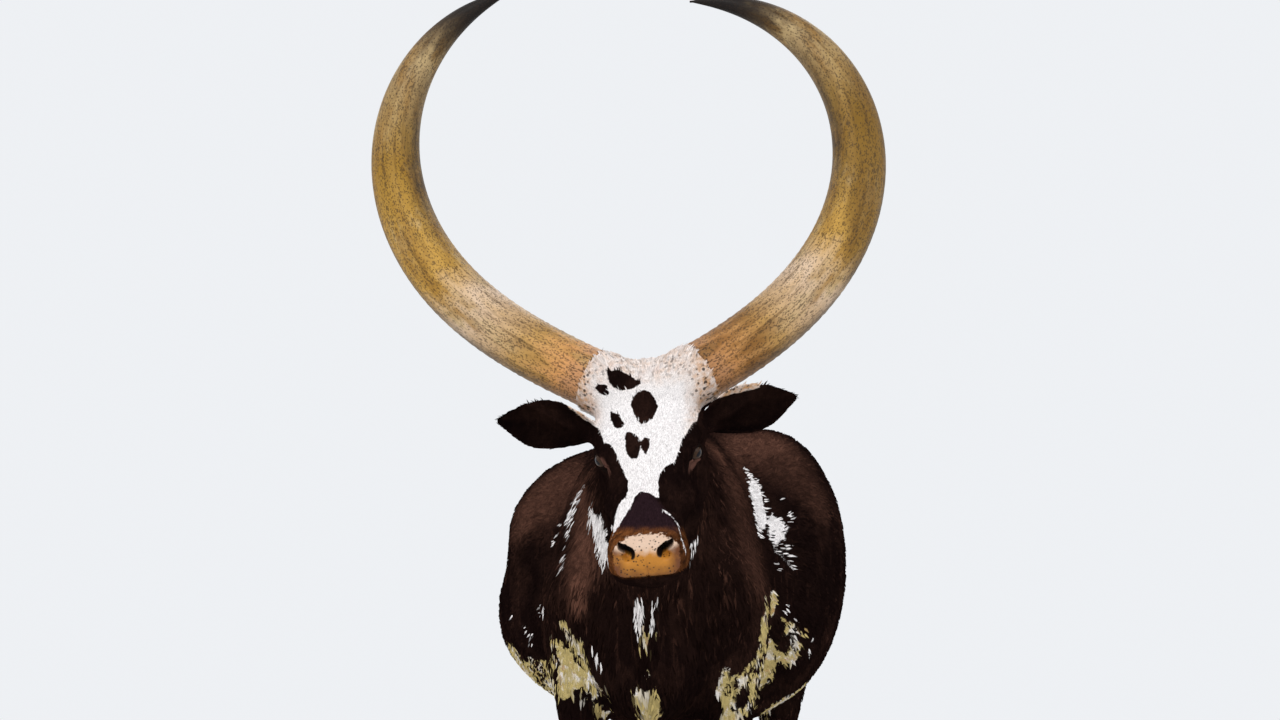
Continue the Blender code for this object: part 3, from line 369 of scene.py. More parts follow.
def soften(obj, times, group=""):
    smooth = obj.modifiers.new("smooth", "SMOOTH")
    smooth.factor = 0.5
    smooth.iterations = times
    smooth.vertex_group = group


def column(items, field, wide=3, kind=np.float32):
    """One field of all the items, one row for each."""
    values = np.empty(len(items) * wide, kind)
    items.foreach_get(field, values)
    return values.reshape(-1, wide)


def places_of(mesh):
    return column(mesh.vertices, "co").astype(float)


def normals_of(mesh):
    mesh.update()
    return column(mesh.vertex_normals, "vector").astype(float)


def put_places(mesh, co):
    mesh.vertices.foreach_set("co", co.astype(np.float32).ravel())
    mesh.update()


def unit(rows):
    return rows / np.linalg.norm(rows, axis=1)[:, None]


def weigh(obj, name, weights):
    """A vertex group with its weights in eighths."""
    group = obj.vertex_groups.new(name=name)
    steps = np.round(np.clip(weights, 0, 1) * 8).astype(int)
    for step in range(1, 9):
        chosen = np.nonzero(steps == step)[0]
        if len(chosen):
            group.add(chosen.tolist(), step / 8, "REPLACE")
    return name


def paint(mesh, name, values):
    """Stores one number or one vector per vertex as an attribute."""
    values = np.asarray(values, np.float32)
    kind, field = ("FLOAT_VECTOR", "vector") if values.ndim == 2 else ("FLOAT", "value")
    mesh.attributes.new(name, kind, "POINT").data.foreach_set(field, values.ravel())


# Where each part of the body is, as soft shares from 0 to 1.


def ear_share(head):
    across, ahead, high = np.abs(head[:, 0]), head[:, 1], head[:, 2]
    near = ease(0.128, 0.150, across) * ease(-0.13, -0.07, ahead)
    out, up = across - HORN_BASE[0], high - HORN_BASE[2]
    along = out * 0.857 + up * 0.515
    reach = np.sqrt(np.maximum(out ** 2 + up ** 2 - along ** 2, 0) + (ahead + HORN_BASE[1]) ** 2)
    near *= 1 - ease(0.084, 0.078, reach) * ease(0.045, 0.060, high)
    return near * ease(0.16, 0.13, ahead) * ease(0.160, 0.125, high) * ease(-0.09, -0.04, high)


def head_share(head):
    return ease(-0.11, -0.01, head[:, 1]) * ease(-0.34, -0.26, head[:, 2] - head[:, 1] * 0.35)


def leg_share(co):
    return ease(0.66, 0.54, co[:, 2])


def tail_share(co):
    return ease(1.045, 1.075, co[:, 1]) * ease(0.26, 0.28, co[:, 2])


def gather(nodes, grown):
    """One bmesh of merged copies of CAD nodes, each grown a little so that neighbours join."""
    bm = bmesh.new()
    for name in nodes:
        one = bmesh.new()
        one.from_mesh(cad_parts[name].data)
        bmesh.ops.remove_doubles(one, verts=one.verts, dist=1e-5)
        one.normal_update()
        for vert in one.verts:
            vert.co += vert.normal * grown
        piece = to_mesh(one, "copy")
        bm.from_mesh(piece)
        bpy.data.meshes.remove(piece)
    return bm


def shape_skin():
    """Joins the nodes of flesh to one smooth closed skin."""
    bm = gather(FLESH + ["eye_left", "eye_right"], GROWN)
    for side, sign in SIDES:
        places, _ = horn_line(side, sign, 24)
        ahead = (places[2] - places[1]).normalized()
        turn = ahead.to_track_quat("Z", "Y").to_matrix().to_4x4()
        bmesh.ops.create_cone(
            bm, cap_ends=True, segments=32, radius1=0.058, radius2=0.0665, depth=HORN_STUB,
            matrix=Matrix.Translation(places[1] - ahead * HORN_STUB / 2) @ turn,
        )
    obj = add_object("skin draft", to_mesh(bm, "hide_skin"))
    join_shells(obj, VOXEL * (1))
    settle(obj)
    co = places_of(obj.data)
    head = head_view(co)
    ear, face, leg, tail = ear_share(head), head_share(head), leg_share(co), tail_share(co)
    trunk = np.clip(1 - np.maximum.reduce([ear, face, leg, tail]), 0, 1)
    for name, share, times in (
        ("trunk", trunk, 260), ("legs", leg, 42), ("face", face * (1 - ear), 26), ("ears", ear, 9),
        ("tail", tail, 20),
    ):
        soften(obj, times, weigh(obj, name, share))
    settle(obj)
    obj.vertex_groups.clear()
    co = places_of(obj.data)
    head = head_view(co)
    keep = np.maximum(head_share(head) * 0.9, np.maximum(ear_share(head), 0.35 * leg_share(co)))
    thin = obj.modifiers.new("thin", "DECIMATE")
    thin.ratio = min(1.0, SKIN_TRIANGLES * 0.86 / (2 * len(obj.data.polygons)))
    thin.vertex_group = weigh(obj, "plain", 1 - keep)
    thin.vertex_group_factor = 0.6
    settle(obj)
    obj.vertex_groups.clear()
    return obj


def refine(mesh, middles, reach, wide=1.0):
    """Cuts the triangles finer near some places of the head."""
    bm = bmesh.new()
    bm.from_mesh(mesh)
    head = head_view(np.array([vert.co for vert in bm.verts]))
    near = np.zeros(len(head), bool)
    for middle in middles:
        near |= np.linalg.norm((head - middle) / (wide, 1.0, 1.0), axis=1) < reach
    edges = [edge for edge in bm.edges if near[edge.verts[0].index] and near[edge.verts[1].index]]
    bmesh.ops.subdivide_edges(bm, edges=edges, cuts=1, smooth=0.6, use_grid_fill=True)
    bmesh.ops.triangulate(bm, faces=[face for face in bm.faces if len(face.verts) > 3])
    bm.to_mesh(mesh)
    bm.free()


def segment_gap(points, one, two):
    """Distance from points to a straight line between two places, and how far along the nearest is."""
    step = two - one
    share = np.clip((points - one) @ step / (step @ step), 0, 1)
    return np.linalg.norm(points - one - share[:, None] * step, axis=1), share


def along_path(points, path, sign=1):
    """Distance from points to a broken line, and how far along the line the nearest place is."""
    best = np.full(len(points), 1e9)
    where = np.zeros(len(points))
    path = [np.array((place[0] * sign, *place[1:]), float) for place in path]
    for k, (one, two) in enumerate(zip(path, path[1:])):
        gap, share = segment_gap(points, one, two)
        closer = gap < best
        best = np.where(closer, gap, best)
        where = np.where(closer, (k + share) / (len(path) - 1), where)
    return best, where


def carve_lids(co):
    """Opens the lids round each eye and folds the skin about them."""
    for _, sign in SIDES:
        own, reach = eye_view(sign, co)
        near = (reach < 0.055) & (own[:, 2] > 0.25 * reach)
        own, reach = own[near], reach[near]
        x, y = lid_view(own)
        half, tall = LID_HALF
        edge = tall * np.clip(1 - (x / half) ** 2, 0, 1) ** 0.72
        outside = np.where(np.abs(x) < half, np.abs(y) - edge, np.hypot(np.abs(x) - half, y))
        upper = ease(-0.001, 0.002, y)
        lid = EYE_RADIUS - 0.005 + 0.0078 * ease(-0.0006, 0.0013, outside)
        lid += 0.0012 * ease(0.0013, 0.005, outside)
        fade = ease(0.0045, 0.019, outside)
        new = lid * (1 - fade) + reach * fade
        for above, rise, middle, width in LID_FOLDS:
            new += (upper if above else 1 - upper) * rise * bump_at(outside, middle, width)
        axes = np.array(MOVE @ eye_frame(sign))[:3, :3]
        co[near] += (axes @ (own / reach[:, None] * (new - reach)[:, None]).T).T


def nostril_gap(head, sign):
    """Distance from the middle of a nostril, its half width there, and a share for the front of the nose."""
    gap, along = along_path(head[:, [0, 2]], NOSTRIL, sign)
    return gap, 0.0044 + 0.0052 * along, ease(0.425, 0.455, head[:, 1])


def carve_face(co, no):
    """Nostrils, mouth, nose pad and the bony and fleshy forms of the face."""
    head = head_view(co)
    inward = HEAD_AXES @ np.array((0, 1, 0))
    for _, sign in SIDES:
        gap, size, front = nostril_gap(head, sign)
        hole = np.clip(1 - (gap / size) ** 2, 0, 1) ** 0.5 * front
        co += inward * (hole * 0.020)[:, None]
        co += no * (bump_at(gap, size + 0.0025, 0.0024) * front * 0.0014)[:, None]
    for _, sign in SIDES:
        gap, _ = along_path(head, MOUTH, sign)
        lips = bump_at(gap, 0.0095, 0.0055) * ease(0.36, 0.40, head[:, 1])
        co += no * (0.0016 * lips - 0.0048 * bump_at(gap, 0, 0.0030))[:, None]
    philtrum = bump_at(head[:, 0], 0, 0.0022) * front * ease(-0.012, -0.035, head[:, 2])
    philtrum *= ease(-0.085, -0.072, head[:, 2])
    rise = 0.0016 * ease(-0.0022, 0.0006, pad_field(head)) - 0.0022 * philtrum
    folded = np.column_stack((np.abs(head[:, 0]), head[:, 1:]))
    for path, width, height in FACE_FORMS:
        rise += height * bump_at(along_path(folded, path)[0], 0, width)
    co += no * rise[:, None]


def carve_body(co, no):
    """Folds and forms of the neck and trunk: ribs on the sides and folds at the throat."""
    x, y, z = body_view(co).T
    ribs = np.sin((y + 0.10 * (z - 0.9)) * 2 * math.pi / 0.072)
    side = ease(0.12, 0.22, np.abs(x - 0.04)) * ease(-0.24, -0.10, y) * ease(0.42, 0.25, y)
    side *= ease(0.70, 0.80, z) * ease(1.22, 1.12, z)
    throat = ease(-0.45, -0.56, y) * ease(-0.92, -0.84, y) * ease(1.16, 1.02, z)
    folds = np.sin((y * 0.85 - z * 0.55) * 2 * math.pi / 0.055 + 1.3 * np.sin(z * 17 + x * 9))
    co += no * (0.0016 * ribs * side * (1 - leg_share(co)) + 0.0022 * folds * throat)[:, None]


def pad_field(head):
    """How far inside the bare nose a point is, in metres."""
    across, ahead, high = head.T
    square = np.power(np.abs(across) / 0.067, 4) + np.power(np.abs(high + 0.0225) / 0.0365, 4)
    ring = (1 - np.power(square, 1 / 4)) * 0.040
    return np.where(ahead > 0.44, np.minimum(ring, ahead - 0.452), -0.03)


def polygon_field(points, outline):
    """How far inside a flat outline points are: negative outside."""
    outline = np.array(outline)
    best = np.full(len(points), 1e9)
    inside = np.zeros(len(points), bool)
    for one, two in zip(outline, np.roll(outline, -1, axis=0)):
        best = np.minimum(best, segment_gap(points, one, two)[0])
        across, down = two - one
        at = one[0] + (points[:, 1] - one[1]) / (down or 1e-9) * across
        inside ^= ((one[1] > points[:, 1]) != (two[1] > points[:, 1])) & (points[:, 0] < at)
    return np.where(inside, best, -best)


def outlines_field(points, outlines):
    """How far inside the nearest of several outlines points are, in metres."""
    best = np.full(len(points), -2.0 * OUTLINE_MARGIN)
    for outline in outlines:
        low, high = np.min(outline, axis=0) - OUTLINE_MARGIN, np.max(outline, axis=0) + OUTLINE_MARGIN
        near = np.nonzero(((points > low) & (points < high)).all(axis=1))[0]
        best[near] = np.maximum(best[near], polygon_field(points[near], outline))
    return best / POINTS_PER_METRE


def markings(co, no):
    """What the coat's colours follow at each place, as numbers by name."""
    head, own, view = head_view(co), body_view(co), seen(co)
    across, ahead, high = head.T
    down = view[:, 1]
    ear, face, leg = ear_share(head), head_share(head), leg_share(co)
    facing = -(no @ camera_axes()[2])
    toward = ease(0.06, 0.22, facing)
    off = 0.05 * (1 - toward)
    blaze = outlines_field(view, (BLAZE,))
    floor = np.where(down > STRIP_LINE, -0.2, 0.055 - 0.16 * np.clip(ahead, 0, 0.36))
    blaze = np.minimum.reduce((blaze, (high - floor) * 0.8, (0.5 - ear) * 0.06, (ahead + 0.055) * 0.4))
    blaze = np.where(down > STRIP_LINE, blaze - off, blaze)
    spots = np.where(high > 0.03, outlines_field(view, SPOTS), -0.05)
    white = np.minimum(blaze, -spots)
    curve = 0.0007 - along_path(view, NOSE_CURVE)[0] / POINTS_PER_METRE - 0.01 * ease(0.42, 0.22, facing)
    white = np.maximum(white, np.where(ahead > 0.2, curve, -0.03))
    white = np.where(face > 0.5, white, -0.03)
    trunk = (face < 0.6) & (own[:, 1] < 0.45)
    white = np.maximum(white, np.where(trunk, outlines_field(view, STREAKS), -0.03) - off)
    cream = np.where(trunk, outlines_field(view, CREAM), -0.1) * 1.6 - 2 * off
    for one, two, radius in PATCHES:
        cream = np.maximum(cream, radius - along_path(own, (one, two))[0])
    neck = ease(-0.20, -0.45, own[:, 1]) * ease(0.70, 0.95, own[:, 2]) * (1 - face)
    # Painted warm sheen: a little on the neck, more inside the outlines where the coat faces the camera.
    warm = 0.025 + 0.045 * neck
    for strong, outline in WARM_SHEEN:
        inside = ease(-0.016, 0.020, outlines_field(view, (outline,)))
        warm = np.maximum(warm, strong * inside * toward * (own[:, 1] < 0.3) * (1 - face))
    low_front = ease(0.25, 0.75, no @ (HEAD_AXES @ np.array((0, -0.85, -0.5))))
    warm = warm * (1 - ear) + 0.12 * ear * low_front * ease(0.17, 0.21, np.abs(across))
    muzzle = ease(524, 533, down) * ease(0.39, 0.42, ahead) * face * ease(-0.064, -0.054, high)
    muzzle *= 1 - 0.45 * ease(0.02, 0.07, across)
    return {
        "white": np.clip(white, -0.03, 0.03),
        "cream": np.clip(cream, -0.2, 0.2),
        "warm": np.clip(warm, 0, 1.5),
        # Painted brown highlights along the hair, on the neck, the rear of the body and the legs.
        "strand_sheen": np.maximum(0.15 + 0.85 * neck, 0.5 * np.maximum(ease(-0.3, 0.1, own[:, 1]), leg)),
        "bridge": ease(-0.010, 0.004, outlines_field(view, (NOSE_BRIDGE,))) * (ahead > 0.2) * face,
        "muzzle": muzzle,
        "pad": np.clip(pad_field(head), -0.03, 0.03),
        "face": face,
        "limb": np.maximum(leg, tail_share(co)),
        "ear": ear,
        "root": co,
        "head": head,
    }


# Node trees


class Weave:
    """Adds nodes to a tree and links them by plain calls."""

    def __init__(self, tree):
        self.tree = tree

    def put(self, value, socket):
        if isinstance(value, bpy.types.NodeSocket):
            self.tree.links.new(value, socket)
        elif socket.type == "RGBA" and len(value) == 3:
            socket.default_value = (*value, 1)
        else:
            socket.default_value = value

    def add(self, kind, inputs, out=0, **settings):
        node = self.tree.nodes.new(kind)
        for name, value in settings.items():
            setattr(node, name, value)
        for key, value in inputs.items():
            self.put(value, node.inputs[key])
        return node.outputs[out]

    def math(self, operation, *values, clamp=False):
        return self.add("ShaderNodeMath", dict(enumerate(values)), operation=operation, use_clamp=clamp)

    def times(self, *values, clamp=False):
        product = values[0]
        for value in values[1:]:
            product = self.math("MULTIPLY", product, value, clamp=clamp)
        return product

    def most(self, one, two):
        return self.math("MAXIMUM", one, two)

    def plus_times(self, value, one, two):
        return self.math("MULTIPLY_ADD", one, two, value)

    def shaken(self, value, noise, amount, middle=0.5):
        """A value moved up and down by a noise."""
        return self.plus_times(value, self.math("SUBTRACT", noise, middle), amount)

    def vector(self, operation, inputs, out=0):
        return self.add("ShaderNodeVectorMath", inputs, out=out, operation=operation)

    def attribute(self, name, out="Fac"):
        return self.add("ShaderNodeAttribute", {}, out=out, attribute_name=name)

    def place(self):
        return self.add("ShaderNodeTexCoord", {}, out="Object")

    def noise(self, where, scale, detail=2.0, rough=0.5, distortion=0.0, out="Fac"):
        inputs = {"Vector": where, "Scale": scale, "Detail": detail, "Roughness": rough, "Distortion": distortion}
        return self.add("ShaderNodeTexNoise", inputs, out=out)

    def grain(self, where, scales, *settings, turn=0.0):
        """Noise with a scale of its own along each axis."""
        return self.noise(self.stretch(where, scales, turn), 1.0, *settings)

    def cells(self, where, scale, randomness=1.0):
        inputs = {"Vector": where, "Scale": scale, "Randomness": randomness}
        return self.add("ShaderNodeTexVoronoi", inputs, out="Distance")

    def step(self, value, low, high, to_low=0.0, to_high=1.0):
        inputs = {"Value": value, "From Min": low, "From Max": high, "To Min": to_low, "To Max": to_high}
        return self.add("ShaderNodeMapRange", inputs, interpolation_type="SMOOTHSTEP")

    def blend(self, share, one, two, kind="MIX"):
        node = self.tree.nodes.new("ShaderNodeMix")
        node.data_type = "RGBA"
        node.blend_type = kind
        for key, value in ((0, share), (6, one), (7, two)):
            self.put(value, node.inputs[key])
        return node.outputs[2]

    def layers(self, colour, *layers):
        """Lays colours over a first one, each with its share."""
        for share, over in layers:
            colour = self.blend(share, colour, over)
        return colour

    def stretch(self, where, scale, turn=0.0):
        return self.add("ShaderNodeMapping", {"Vector": where, "Scale": scale, "Rotation": (turn, 0, 0)})

    def split(self, where, out):
        return self.add("ShaderNodeSeparateXYZ", {"Vector": where}, out=out)

    def group(self, tree, inputs):
        """Places a node group and returns its outputs."""
        node = self.tree.nodes.new("ShaderNodeGroup")
        node.node_tree = tree
        for key, value in inputs.items():
            self.put(value, node.inputs[key])
        return node.outputs

    def surface(self, gloss, colour, rough, bump=None):
        """Fills the material's shader. A bump has its strength, distance and height."""
        shader = self.tree.nodes["Principled BSDF"].inputs
        shader["Specular IOR Level"].default_value = gloss
        self.put(colour, shader["Base Color"])
        self.put(rough, shader["Roughness"])
        if bump:
            relief = self.add("ShaderNodeBump", dict(zip(("Strength", "Distance", "Height"), bump)), out="Normal")
            self.put(relief, shader["Normal"])
        return shader


def effect(name, inputs, outputs):
    """A node group with named colour inputs and named outputs, ready to be filled."""
    tree = bpy.data.node_groups.new(name, "ShaderNodeTree")
    for label in inputs:
        tree.interface.new_socket(name=label, in_out="INPUT", socket_type="NodeSocketColor")
    for label, kind in outputs.items():
        tree.interface.new_socket(name=label, in_out="OUTPUT", socket_type=f"NodeSocket{kind}")
    return tree, Weave(tree), tree.nodes.new("NodeGroupInput").outputs, tree.nodes.new("NodeGroupOutput").inputs


def shade(name):
    """A new material with one Principled BSDF."""
    material = bpy.data.materials.new(name)
    material.use_nodes = True
    return material, Weave(material.node_tree)


def coat_colours():
    """Node group: the coat's colour at a place, from the markings stored there."""
    inputs = ("Dark", "Brown", "White", "Cream", "Tan")
    tree, w, given, result = effect("coat colours", inputs, {"Color": "Color", "Light": "Float"})
    root = w.attribute("root", "Vector")
    head = w.attribute("head", "Vector")
    across, high = w.split(head, 0), w.split(head, 2)
    fine, mid, broad = w.noise(root, 420, 2), w.noise(root, 70, 3), w.noise(root, 9, 3)
    # Dark coat, warmer in places with painted sheen, painted brown highlights along the strands, and a tan muzzle.
    warm = w.plus_times(w.attribute("warm"), w.step(broad, 0.45, 0.70), 0.10)
    warm = w.times(warm, w.step(mid, 0.25, 0.75, 0.55, 1.15), clamp=True)
    strands = w.step(w.grain(root, (130, 70, 7), 3, 0.6), 0.54, 0.74)
    colour = w.layers(
        given["Dark"],
        (warm, given["Brown"]),
        (w.times(strands, w.attribute("strand_sheen"), 0.50), given["Brown"]),
        (w.times(w.attribute("ear"), 0.55), (0.0012, 0.0006, 0.0006)),
        (w.times(w.attribute("bridge"), 0.75), (0.026, 0.013, 0.017)),
        (w.times(w.attribute("muzzle"), w.step(mid, 0.3, 0.65, 0.30, 1.0), clamp=True), given["Tan"]),
    )
    # Ragged cream patches.
    edge = w.shaken(w.shaken(w.attribute("cream"), w.noise(root, 24, 5, 0.62), 0.12, 0.47), fine, 0.010)
    cream = w.step(edge, -0.003, 0.004)
    pale = w.layers(
        given["Cream"],
        (w.step(w.noise(root, 34, 4, 0.6), 0.48, 0.68, 0.0, 0.85), given["White"]),
        (w.step(w.noise(root, 46, 3, 0.6), 0.56, 0.70, 0.0, 0.7), (0.46, 0.24, 0.085)),
    )
    # Crisp white, tan and dotted near the horns.
    edge = w.shaken(w.shaken(w.attribute("white"), mid, 0.006), fine, 0.004)
    white = w.step(edge, -0.0008, 0.0010)
    near_horn = w.math("ADD", w.step(across, 0.064, 0.125), w.step(across, -0.084, -0.136))
    near_horn = w.times(near_horn, w.step(high, 0.05, 0.09))
    near_horn = w.times(w.most(near_horn, w.step(high, 0.128, 0.165, 0.0, 0.55)), w.attribute("face"))
    dots = w.times(w.step(w.cells(root, 100), 0.42, 0.28), w.step(w.noise(root, 60, 1), 0.64, 0.50))
    tint = w.layers(
        given["White"],
        (w.times(near_horn, w.step(mid, 0.35, 0.70, 0.40, 1.0)), (0.62, 0.34, 0.16)),
        (w.step(w.noise(root, 30, 2), 0.55, 0.8, 0, 0.35), (0.66, 0.58, 0.60)),
        (w.times(dots, w.step(near_horn, 0.1, 0.9, 0.0, 0.85)), given["Dark"]),
    )
    w.put(w.layers(colour, (cream, pale), (white, tint)), result["Color"])
    w.put(w.most(white, cream), result["Light"])
    return tree


def fur_lie():
    """Node group: the relief of short hair that lies along the body, and the streaks that the hide's painted light
    and shade follow.
    """
    tree, w, _, result = effect("fur lie", (), {"Height": "Float", "Streak": "Float"})
    root = w.attribute("root", "Vector")
    bent = w.vector("ADD", {0: root, 1: w.vector("SCALE", {0: w.noise(root, 6, 2, out="Color"), 3: 0.05})})
    slope = math.radians(14)
    streak = w.layers(
        w.grain(bent, (420, 60, 420), 3, 0.6, turn=slope),
        (w.attribute("limb"), w.grain(bent, (460, 460, 60), 3, 0.6)),
        (w.attribute("face"), w.grain(w.attribute("head", "Vector"), (620, 90, 620), 3, 0.6)),
    )
    w.put(w.plus_times(streak, w.grain(bent, (60, 14, 60), 2, turn=slope), 0.8), result["Height"])
    w.put(streak, result["Streak"])
    return tree


def hide_material(name, colours, lie, coat, skin):
    """Hide with its markings: the skin adds the bare nose, and the tufts leave it out."""
    material, w = shade(name)
    hair = {"Dark": coat.dark, "Brown": coat.brown, "White": coat.white, "Cream": coat.cream, "Tan": coat.tan}
    marks = w.group(colours, hair)
    relief = w.group(lie, {})
    # Painted light and shade along the hair: lighter where its relief rises, darker where it sinks.
    streak = w.step(relief["Streak"], 0.25, 0.75, 0.62, 1.25)
    relief_shade = w.add("ShaderNodeCombineColor", dict.fromkeys(range(3), streak))
    colour = w.blend(1.0, marks["Color"], relief_shade, "MULTIPLY")
    rough = w.step(marks["Light"], 0, 1, 0.55, 0.75)
    height = relief["Height"]
    if skin:
        head = w.attribute("head", "Vector")
        root = w.attribute("root", "Vector")
        high = w.split(head, 2)
        pad = w.step(w.shaken(w.attribute("pad"), w.noise(root, 160, 2), 0.006), -0.0006, 0.0010)
        blotch = w.noise(root, 48, 3)
        uneven = w.shaken(high, blotch, 0.030)
        side = w.step(w.math("ABSOLUTE", w.split(head, 0)), 0.036, 0.064)
        side = w.times(side, w.step(high, 0.004, -0.008), w.step(blotch, 0.3, 0.6, 0.5, 1.0))
        specks = w.times(w.step(w.cells(root, 150), 0.36, 0.22), w.step(w.noise(root, 55, 1), 0.46, 0.58))
        nose = w.layers(
            coat.pad_top,
            (w.step(uneven, 0.001, -0.015), coat.pad_low),
            (w.step(uneven, -0.026, -0.056, 0.0, 0.75), (0.17, 0.062, 0.018)),
            (side, (0.17, 0.055, 0.018)),
            (w.times(specks, 0.85), (0.020, 0.011, 0.009)),
        )
        rough = w.plus_times(w.times(rough, w.math("SUBTRACT", 1.0, pad)), pad, 0.30)
        height = w.blend(pad, height, w.times(w.step(w.cells(root, 420, 0.9), 0.0, 0.45), 1.5))
        # Bare skin of the lids and nostrils is dark.
        inner = w.attribute("bare")
        colour = w.layers(colour, (pad, nose), (inner, (0.010, 0.006, 0.005)))
        colour = w.blend(w.attribute("pink"), colour, (0.19, 0.088, 0.066))
        rough = w.plus_times(rough, inner, -0.15)
    shader = w.surface(0.0, colour, rough, (0.45, 0.0016 if skin else 0.0008, height))
    if skin:
        w.put(w.times(pad, 0.45), shader["Coat Weight"])
        shader["Coat Roughness"].default_value = 0.32
    return material


def horn_material():
    """Horn: cream with tan growth, fine dark flecks, a tan root and a black tip, with painted shade along its sides
    and on the left horn's far part.
    """
    material, w = shade("horn")
    place = w.attribute("horn", "Vector")
    share = w.attribute("along")
    streaks = w.grain(place, (120, 120, 7), 4, 0.6)
    blotch = w.grain(place, (26, 26, 8), 4, 0.6)
    rings = w.grain(place, (9, 9, 130), 2, 0.6)
    ramp = w.tree.nodes.new("ShaderNodeValToRGB")
    stops = (
        (0.0, (0.58, 0.29, 0.130)), (0.04, (0.70, 0.34, 0.115)), (0.12, (0.55, 0.32, 0.100)),
        (0.24, (0.74, 0.54, 0.37)), (0.34, (0.58, 0.33, 0.068)), (0.58, (0.35, 0.190, 0.024)),
        (0.76, (0.40, 0.275, 0.130)), (0.86, (0.090, 0.058, 0.028)), (0.93, (0.010, 0.008, 0.007)),
    )
    while len(ramp.color_ramp.elements) < len(stops):
        ramp.color_ramp.elements.new(0.5)
    for element, (at, colour) in zip(ramp.color_ramp.elements, stops):
        element.position = at
        element.color = (*colour, 1)
    shaken = w.shaken(share, blotch, 0.16)
    w.put(shaken, ramp.inputs[0])
    side = w.split(w.place(), 0)
    # Darker brown about the left horn's root, broken by blotches.
    root_darker = w.times(w.step(side, 0.11, 0.15), w.step(share, 0.17, 0.09), w.step(blotch, 0.36, 0.58, 0.15, 0.70))
    # Painted shade along the horn's inner side, growing from a quarter of the way out, and along its outer side from
    # just past the root.
    inner = w.split(place, 1)
    dark = w.most(
        w.times(w.step(inner, 0.026, 0.058), w.step(share, 0.25, 0.60, 0.15, 0.85)),
        w.times(w.step(inner, -0.040, -0.064), w.step(share, 0.0, 0.07, 0.10, 0.75)),
    )
    flecks = w.step(w.grain(place, (230, 230, 95), 2, 0.6, 0.6), 0.54, 0.62)
    flecks = w.times(flecks, w.step(w.grain(place, (34, 34, 16), 3), 0.34, 0.58, 0.15, 1.0), 0.8)
    small = w.step(w.cells(w.stretch(place, (250, 250, 150)), 1.0), 0.40, 0.24)
    flecks = w.times(w.most(flecks, w.times(small, 0.8)), w.step(share, 0.0, 0.06, 1.0, 0.8))
    colour = w.layers(
        ramp.outputs[0],
        (w.step(w.grain(place, (14, 14, 6), 4, 0.65), 0.50, 0.72, 0.0, 0.8), (0.62, 0.45, 0.22)),
        (w.step(blotch, 0.45, 0.70, 0.0, 0.65), (0.30, 0.145, 0.022)),
        (w.step(streaks, 0.50, 0.72, 0.0, 0.6), (0.12, 0.062, 0.016)),
        # Painted shade on the far part of the left horn.
        (w.step(side, 0.448, 0.490, 0.0, 0.60), (0.14, 0.070, 0.010)),
        (root_darker, (0.20, 0.075, 0.014)),
        # Painted shade along the sides.
        (w.times(dark, w.step(w.grain(place, (60, 60, 22), 4, 0.65), 0.30, 0.60, 0.45, 1.0)), (0.030, 0.018, 0.010)),
        (w.step(shaken, 0.80, 0.93), (0.012, 0.009, 0.008)),
        (flecks, (0.028, 0.017, 0.012)),
    )
    height = w.plus_times(w.times(rings, w.step(share, 0.0, 0.5, 1.1, 0.35)), streaks, 0.6)
    height = w.plus_times(height, flecks, -0.25)
    w.surface(0.16, colour, w.step(streaks, 0.2, 0.8, 0.34, 0.56), (0.6, 0.0020, height))
    return material


def claw_material(coat):
    """Dark claw horn with fine growth lines and pale scuffs near the ground."""
    material, w = shade("claw")
    place = w.place()
    lines = w.grain(place, (14, 14, 620), 2, 0.6)
    grain = w.grain(place, (260, 260, 40), 3)
    scuff = w.times(w.step(w.split(place, 2), 0.030, 0.002), w.step(w.noise(place, 90, 4), 0.42, 0.68))
    colour = w.layers(
        coat.claw, (w.step(lines, 0.35, 0.7), (0.060, 0.040, 0.026)), (scuff, (0.13, 0.090, 0.060)),
    )
    w.surface(0.15, colour, w.step(grain, 0.2, 0.8, 0.42, 0.65), (0.5, 0.0012, w.plus_times(lines, grain, 0.4)))
    return material


def eye_material():
    """A dark wet eye with a wide level pupil."""
    material, w = shade("eye")
    look = w.attribute("look", "Vector")
    ring = w.vector("MULTIPLY", {0: look, 1: (1, 1, 0)})
    away = w.vector("LENGTH", {0: ring}, "Value")
    pupil = w.vector("LENGTH", {0: w.vector("MULTIPLY", {0: ring, 1: (1.0, 2.1, 0)})}, "Value")
    threads = w.grain(look, (30, 30, 30), 3)
    iris = w.blend(w.step(threads, 0.3, 0.7), (0.022, 0.011, 0.006), (0.062, 0.028, 0.012))
    veins = w.grain(look, (9, 9, 9), 5, 0.7)
    white = w.blend(w.step(veins, 0.5, 0.62), (0.12, 0.075, 0.060), (0.09, 0.035, 0.030))
    colour = w.layers(
        (0.002, 0.003, 0.006),
        (w.step(pupil, 0.40, 0.46), iris),
        (w.step(away, 0.66, 0.72), (0.010, 0.006, 0.005)),
        (w.step(away, 0.76, 0.84), white),
    )
    w.surface(0.17, colour, w.step(threads, 0.2, 0.8, 0.07, 0.14))
    return material


def switch_material(coat):
    """Long coarse hair of the tail's brush."""
    material, w = shade("switch")
    strands = w.grain(w.place(), (900, 900, 16), 3)
    tone = w.noise(w.attribute("root", "Vector"), 60, 2)
    colour = w.layers(
        coat.dark,
        (w.step(tone, 0.35, 0.7), (0.045, 0.022, 0.013)),
        (w.step(strands, 0.55, 0.8, 0, 0.5), (0.10, 0.060, 0.038)),
    )
    w.surface(0.05, colour, w.step(strands, 0.2, 0.8, 0.50, 0.70), (0.5, 0.0010, strands))
    return material


def floor_material(colour):
    material, w = shade("studio floor")
    tone = w.step(w.noise(w.place(), 0.8, 2), 0.3, 0.7, 0.0, 0.25)
    w.surface(0.5, w.blend(tone, colour, [part * 0.96 for part in colour]), 0.9)
    return material


# Pieces


